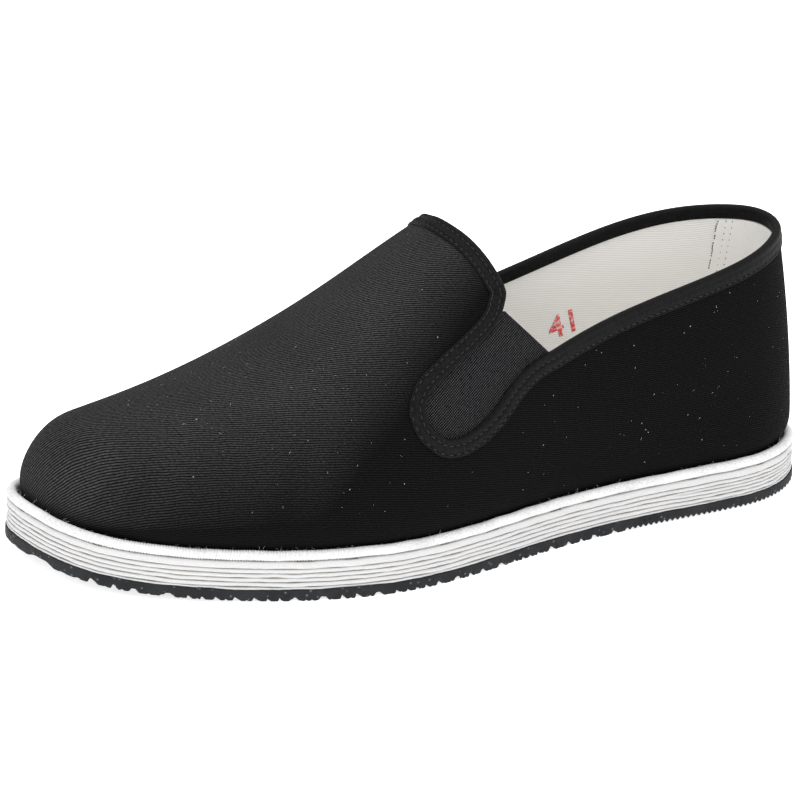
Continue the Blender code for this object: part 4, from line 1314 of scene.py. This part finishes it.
# The midsole's layers: their bottoms and tops at the forefoot and, in the next two columns, at the
# heel, where one more layer comes in and the others are pressed thinner.
Layer = namedtuple("Layer", "name node bottom top heel_bottom heel_top inset")
LAYERS = (
    Layer("cloth_layer_0", None, 3.94, 4.58, 3.94, 4.40, 0.34),
    Layer("cloth_layer_1", "sole_layer_1", 4.86, 6.16, 4.66, 5.72, 0.40),
    Layer("cloth_layer_2", "sole_layer_2", 6.46, 7.68, 6.00, 7.02, 0.52),
    Layer("cloth_layer_3", "sole_layer_3", 7.96, 9.14, 7.30, 8.28, 0.44),
    Layer("cloth_layer_4", "sole_layer_4", 9.44, 10.72, 9.62, 10.74, 0.56),
    Layer("cloth_layer_5", "sole_layer_5", 11.02, 13.25, 11.02, 13.25, 0.46),
)
HEEL_LAYER = (8.52, 9.36)
HEEL_CHANGE = (70.0, 92.0)
LAYER_POINTS = 1000


def cut_edge(loop_inset, low, high, seed):
    """Rings of a layer's cut edge from its top to its bottom, slightly frayed."""
    count = LAYER_POINTS
    fray = 0.07 * ripple(count, (60, 260), seed) + 0.16 * ripple(count, (6, 30), seed + 1)
    sway = 0.10 * ripple(count, (12, 70), seed + 2)
    rings = []
    for share, back in ((1.0, 0.30), (0.93, 0.08), (0.62, 0.0), (0.35, 0.02), (0.07, 0.10), (0.0, 0.32)):
        plan = sole_loop(loop_inset + fray + back, count)
        z = low + (high - low) * share + sway + toe_rise(plan[:, 0])
        rings.append(np.column_stack([plan, z]))
    return rings


def drawn_in(ring, share):
    """A ring moved in towards the sole's middle line, at the same height over the bent sole."""
    spine = spine_of(ring[:, :2])
    plan = ring[:, :2] + share * (spine - ring[:, :2])
    return np.column_stack([plan, ring[:, 2] - toe_rise(ring[:, 0]) + toe_rise(plan[:, 0])])


def build_layers(material, paste):
    count = LAYER_POINTS
    x = sole_loop(0.0, count)[:, 0]
    at_heel = ease(x, *HEEL_CHANGE)
    for number, layer in enumerate(LAYERS):
        low = layer.bottom + (layer.heel_bottom - layer.bottom) * at_heel
        high = layer.top + (layer.heel_top - layer.top) * at_heel
        edge = cut_edge(layer.inset, low, high, 40 + 5 * number)
        rings = [drawn_in(edge[0], share) for share in (0.985, 0.5, 0.12)] + edge
        rings += [drawn_in(edge[-1], share) for share in (0.12, 0.5, 0.985)]
        item = ringed_solid(layer.name, rings, material)
        dress(item, "white_cloth", *([layer.node] if layer.node else []))
    build_heel_layer(material)
    build_paste_and_shade(paste)


def build_heel_layer(material):
    """The short layer let in at the heel, with its torn front edge."""
    count = LAYER_POINTS
    fray = 0.1 * ripple(count, (60, 200), 71) + 0.15 * ripple(count, (6, 30), 72)
    whole = sole_loop(0.38 + fray, count)
    start = HEEL_CHANGE[0] + 3.0
    back = whole[whole[:, 0] > start]
    turn = np.argmax(np.linalg.norm(np.diff(back, axis=0), axis=1))
    back = np.roll(back, -turn - 1, 0)
    front = np.linspace(back[-1], back[0], 40)[1:-1]
    front[:, 0] += 0.8 * np.sin(front[:, 1] * 1.3)
    plan = np.concatenate([back, front])
    middle = np.array([105.0, 5.0])
    low, high = HEEL_LAYER
    rings = []
    for share, z in ((0.98, high), (0.5, high), (0.012, high), (0.003, high - 0.12), (0.0, high - 0.4),
                     (0.0, low + 0.4), (0.003, low + 0.1), (0.012, low), (0.5, low), (0.98, low)):
        ring = plan + share * (middle - plan)
        thin = ease(ring[:, 0], start - 1, start + 14)
        centre = (low + high) / 2
        rings.append(np.column_stack([ring, centre + (z - centre) * (0.35 + 0.65 * thin)]))
    return dress(ringed_solid("cloth_heel_layer", rings, material), "white_cloth")


def build_paste_and_shade(material):
    """What shows between the layers: one core set back from their edges."""
    count = 480
    loop = sole_loop(1.05, count)
    rings = plate_rings(loop, STACK_TOP + 0.05, (0.985, 0.5, 0.1, 0.0))
    rings += plate_rings(loop, OUTSOLE_TOP + 0.02, (0.0, 0.1, 0.5, 0.985))
    return dress(ringed_solid("paste_and_shade_core", rings, material), "white_cloth")


WHIP_PITCH = 0.93
WHIP_POINTS = 6


def build_cord(material):
    """The cord along the midsole's rim, with each turn of its whipping raised."""
    outline = smooth_loop(SOLE_OUTLINE, DENSE_POINTS)
    around = lengths_along(np.concatenate([outline, outline[:1]]))[-1]
    turns = int(round(around / WHIP_PITCH))
    count = turns * WHIP_POINTS
    loop = sole_loop(CORD_INSET, DENSE_POINTS)
    loop = spread_out(np.concatenate([loop, loop[:1]]), count + 1)[:-1]
    out = loop_normals(loop)
    drift = 0.14 * ripple(count, (8, 40), 81)
    lift = 0.10 * ripple(count, (8, 50), 82)
    phase = np.arange(count) / WHIP_POINTS
    jitter = 0.10 * ripple(count, (200, 700), 83)
    sides = 12
    rings = np.empty((count, sides, 3))
    for s in range(sides):
        angle = 2 * np.pi * s / sides
        rib = np.abs(np.sin(np.pi * (phase + 0.42 * np.sin(angle) + jitter)))
        radius = CORD_RADIUS - 0.36 + 0.42 * rib ** 0.6
        plan = loop + (drift + radius * np.cos(angle))[:, None] * out
        z = STACK_TOP + GAP + CORD_RADIUS + lift + radius * np.sin(angle) + toe_rise(loop[:, 0])
        rings[:, s] = np.column_stack([plan, z])
    cord = mesh_object("whipped_cord", rings.reshape(-1, 3), tube_faces(count, sides), material)
    return dress(cord, "white_cloth", "welt_cord")


# Where the sock's rings lie between its rim, 0, and the sole's middle line, 1
SOCK_SHARES = (0.985, 0.9, 0.8, 0.7, 0.6, 0.5, 0.42, 0.35, 0.3, 0.26, 0.22, 0.18, 0.15, 0.12, 0.09,
               0.06, 0.03)


def build_insole(material):
    """The thin sock on the midsole, sewn once round and pressed in where the heel stands."""
    count = 420
    loop = sole_loop(FEATHER_INSET + UPPER_WALL + 0.5, count)
    top = UPPER_BASE + 1.5
    spine = spine_of(loop)
    reach = np.linalg.norm(loop - spine, axis=1)

    def surface(share):
        plan = loop + share * (spine - loop)
        away = share * reach
        z = top - 0.45 * np.exp(-((away - 4.5) / 0.8) ** 2)
        z = z - 0.5 * np.exp(-((plan[:, 0] - 98) / 26) ** 2 - ((plan[:, 1] - 5) / 18) ** 2)
        z = z - 0.4 * np.exp(-((plan[:, 0] + 62) / 36) ** 2 - ((plan[:, 1] - 2) / 26) ** 2)
        return np.column_stack([plan, z + toe_rise(plan[:, 0])])

    rings = [surface(share) for share in SOCK_SHARES]
    for inset, z in ((0.0, top - 0.1), (-0.15, top - 0.5), (-0.15, UPPER_BASE + 0.35), (0.0, UPPER_BASE)):
        plan = sole_loop(FEATHER_INSET + UPPER_WALL + 0.5 + inset, count)
        rings.append(np.column_stack([plan, z + toe_rise(plan[:, 0])]))
    rings += plate_rings(loop, UPPER_BASE, (0.2, 0.6, 0.985))
    item = ringed_solid("sock_insole", rings, material)
    layer = item.data.uv_layers.new(name="weave")
    used = np.zeros(len(item.data.loops), np.int32)
    item.data.loops.foreach_get("vertex_index", used)
    plan = np.concatenate(rings)[:, :2]
    layer.data.foreach_set("uv", plan[used].astype(np.float32).ravel())
    return dress(item, "lining_cloth", "insole")


# Camera, lights and floor

def place_camera():
    fwd = np.array([np.sin(AZIMUTH) * np.cos(ELEVATION), np.cos(AZIMUTH) * np.cos(ELEVATION),
                    -np.sin(ELEVATION)])
    level = np.array([np.cos(AZIMUTH), -np.sin(AZIMUTH), 0.0])
    above = np.cross(level, fwd)
    right = level * np.cos(ROLL) + above * np.sin(ROLL)
    up = above * np.cos(ROLL) - level * np.sin(ROLL)
    place = (level * AIM_ACROSS + np.array([0, 0, AIM_UP]) - fwd * DISTANCE) * MM
    data = bpy.data.cameras.new("photo_camera")
    data.sensor_width = 36.0
    data.lens = PIXELS_PER_MM * DISTANCE * data.sensor_width / IMAGE_PIXELS
    data.clip_start, data.clip_end = 0.1, 60.0
    camera = bpy.data.objects.new("photo_camera", data)
    bpy.context.scene.collection.objects.link(camera)
    matrix = Matrix.Identity(4)
    for row in range(3):
        matrix[row][0], matrix[row][1], matrix[row][2] = right[row], up[row], -fwd[row]
        matrix[row][3] = place[row]
    camera.matrix_world = matrix
    bpy.context.scene.camera = camera


Lamp = namedtuple("Lamp", "name place aim width height power")
LAMPS = (
    Lamp("overhead_softbox", (0.1, 0.1, 1.6), (0, 0, 0.03), 2.2, 1.8, 28.0),
    Lamp("toe_side_softbox", (-1.5, -0.7, 1.0), (-0.03, 0, 0.05), 1.2, 1.0, 9.0),
    Lamp("near_side_softbox", (0.4, -1.8, 0.9), (0, 0, 0.04), 1.8, 1.0, 9.0),
)


SKY_STRENGTH = 0.52
PAPER_REACH = 9000


def place_lights():
    for lamp in LAMPS:
        data = bpy.data.lights.new(lamp.name, "AREA")
        data.shape, data.size, data.size_y = "RECTANGLE", lamp.width, lamp.height
        data.energy = lamp.power
        light = bpy.data.objects.new(lamp.name, data)
        bpy.context.scene.collection.objects.link(light)
        light.location = lamp.place
        way = Vector(lamp.aim) - Vector(lamp.place)
        light.rotation_euler = way.to_track_quat("-Z", "Y").to_euler()
    world = bpy.data.worlds.new("white_studio")
    world.use_nodes = True
    sky = world.node_tree.nodes["Background"]
    sky.inputs["Color"].default_value = (1.0, 1.0, 1.0, 1.0)
    sky.inputs["Strength"].default_value = SKY_STRENGTH
    bpy.context.scene.world = world


def lay_floor():
    far = PAPER_REACH
    corners = [(-far, -far, 0), (far, -far, 0), (far, far, 0), (-far, far, 0)]
    paper = mesh_object("background_paper", corners, [(0, 1, 2, 3)], studio_paper())


# Everything

def main():
    lines = upper_lines(SURFACE_COLUMNS)
    tape, elastic, rubber = bias_tape(), woven_elastic(), moulded_rubber()
    board, paste, whipping = pasted_cloth(), paste_and_shade_line(), whipped_cotton()
    black_thread = thread_material("black_sewing_thread", "#111111", "#323233", 0.6)
    drill = build_upper(lines)
    track = edge_track(lines)
    build_tape(track, tape)
    sew_tape(track, black_thread)
    build_gore("elastic_gore_outer", "gore_lateral", False, elastic)
    build_gore("elastic_gore_inner", "gore_medial", True, elastic)
    build_outsole(rubber)
    build_layers(board, paste)
    build_cord(whipping)
    sock = cotton_drill("offwhite_drill_sock", 0.8, np.radians(30), "#d0cdc8", "#f8f6f2", "#e0dcd5")
    build_insole(sock)
    build_heel_stay(lines, drill, thread_material("brown_hole_thread", "#2c2825", "#5d554e", 0.9))
    build_stamp(stamp_ink())
    hair = thread_material("white_cotton_hair", "#c9c9c7", "#ececea", 0.8)
    build_fuzz(hair)
    build_lint(hair)
    build_pits(thread_material("pit_shade", "#060607", "#0c0c0d", 0.9))
    place_camera()
    place_lights()
    lay_floor()
    bpy.context.scene.view_settings.view_transform = "Standard"


main()
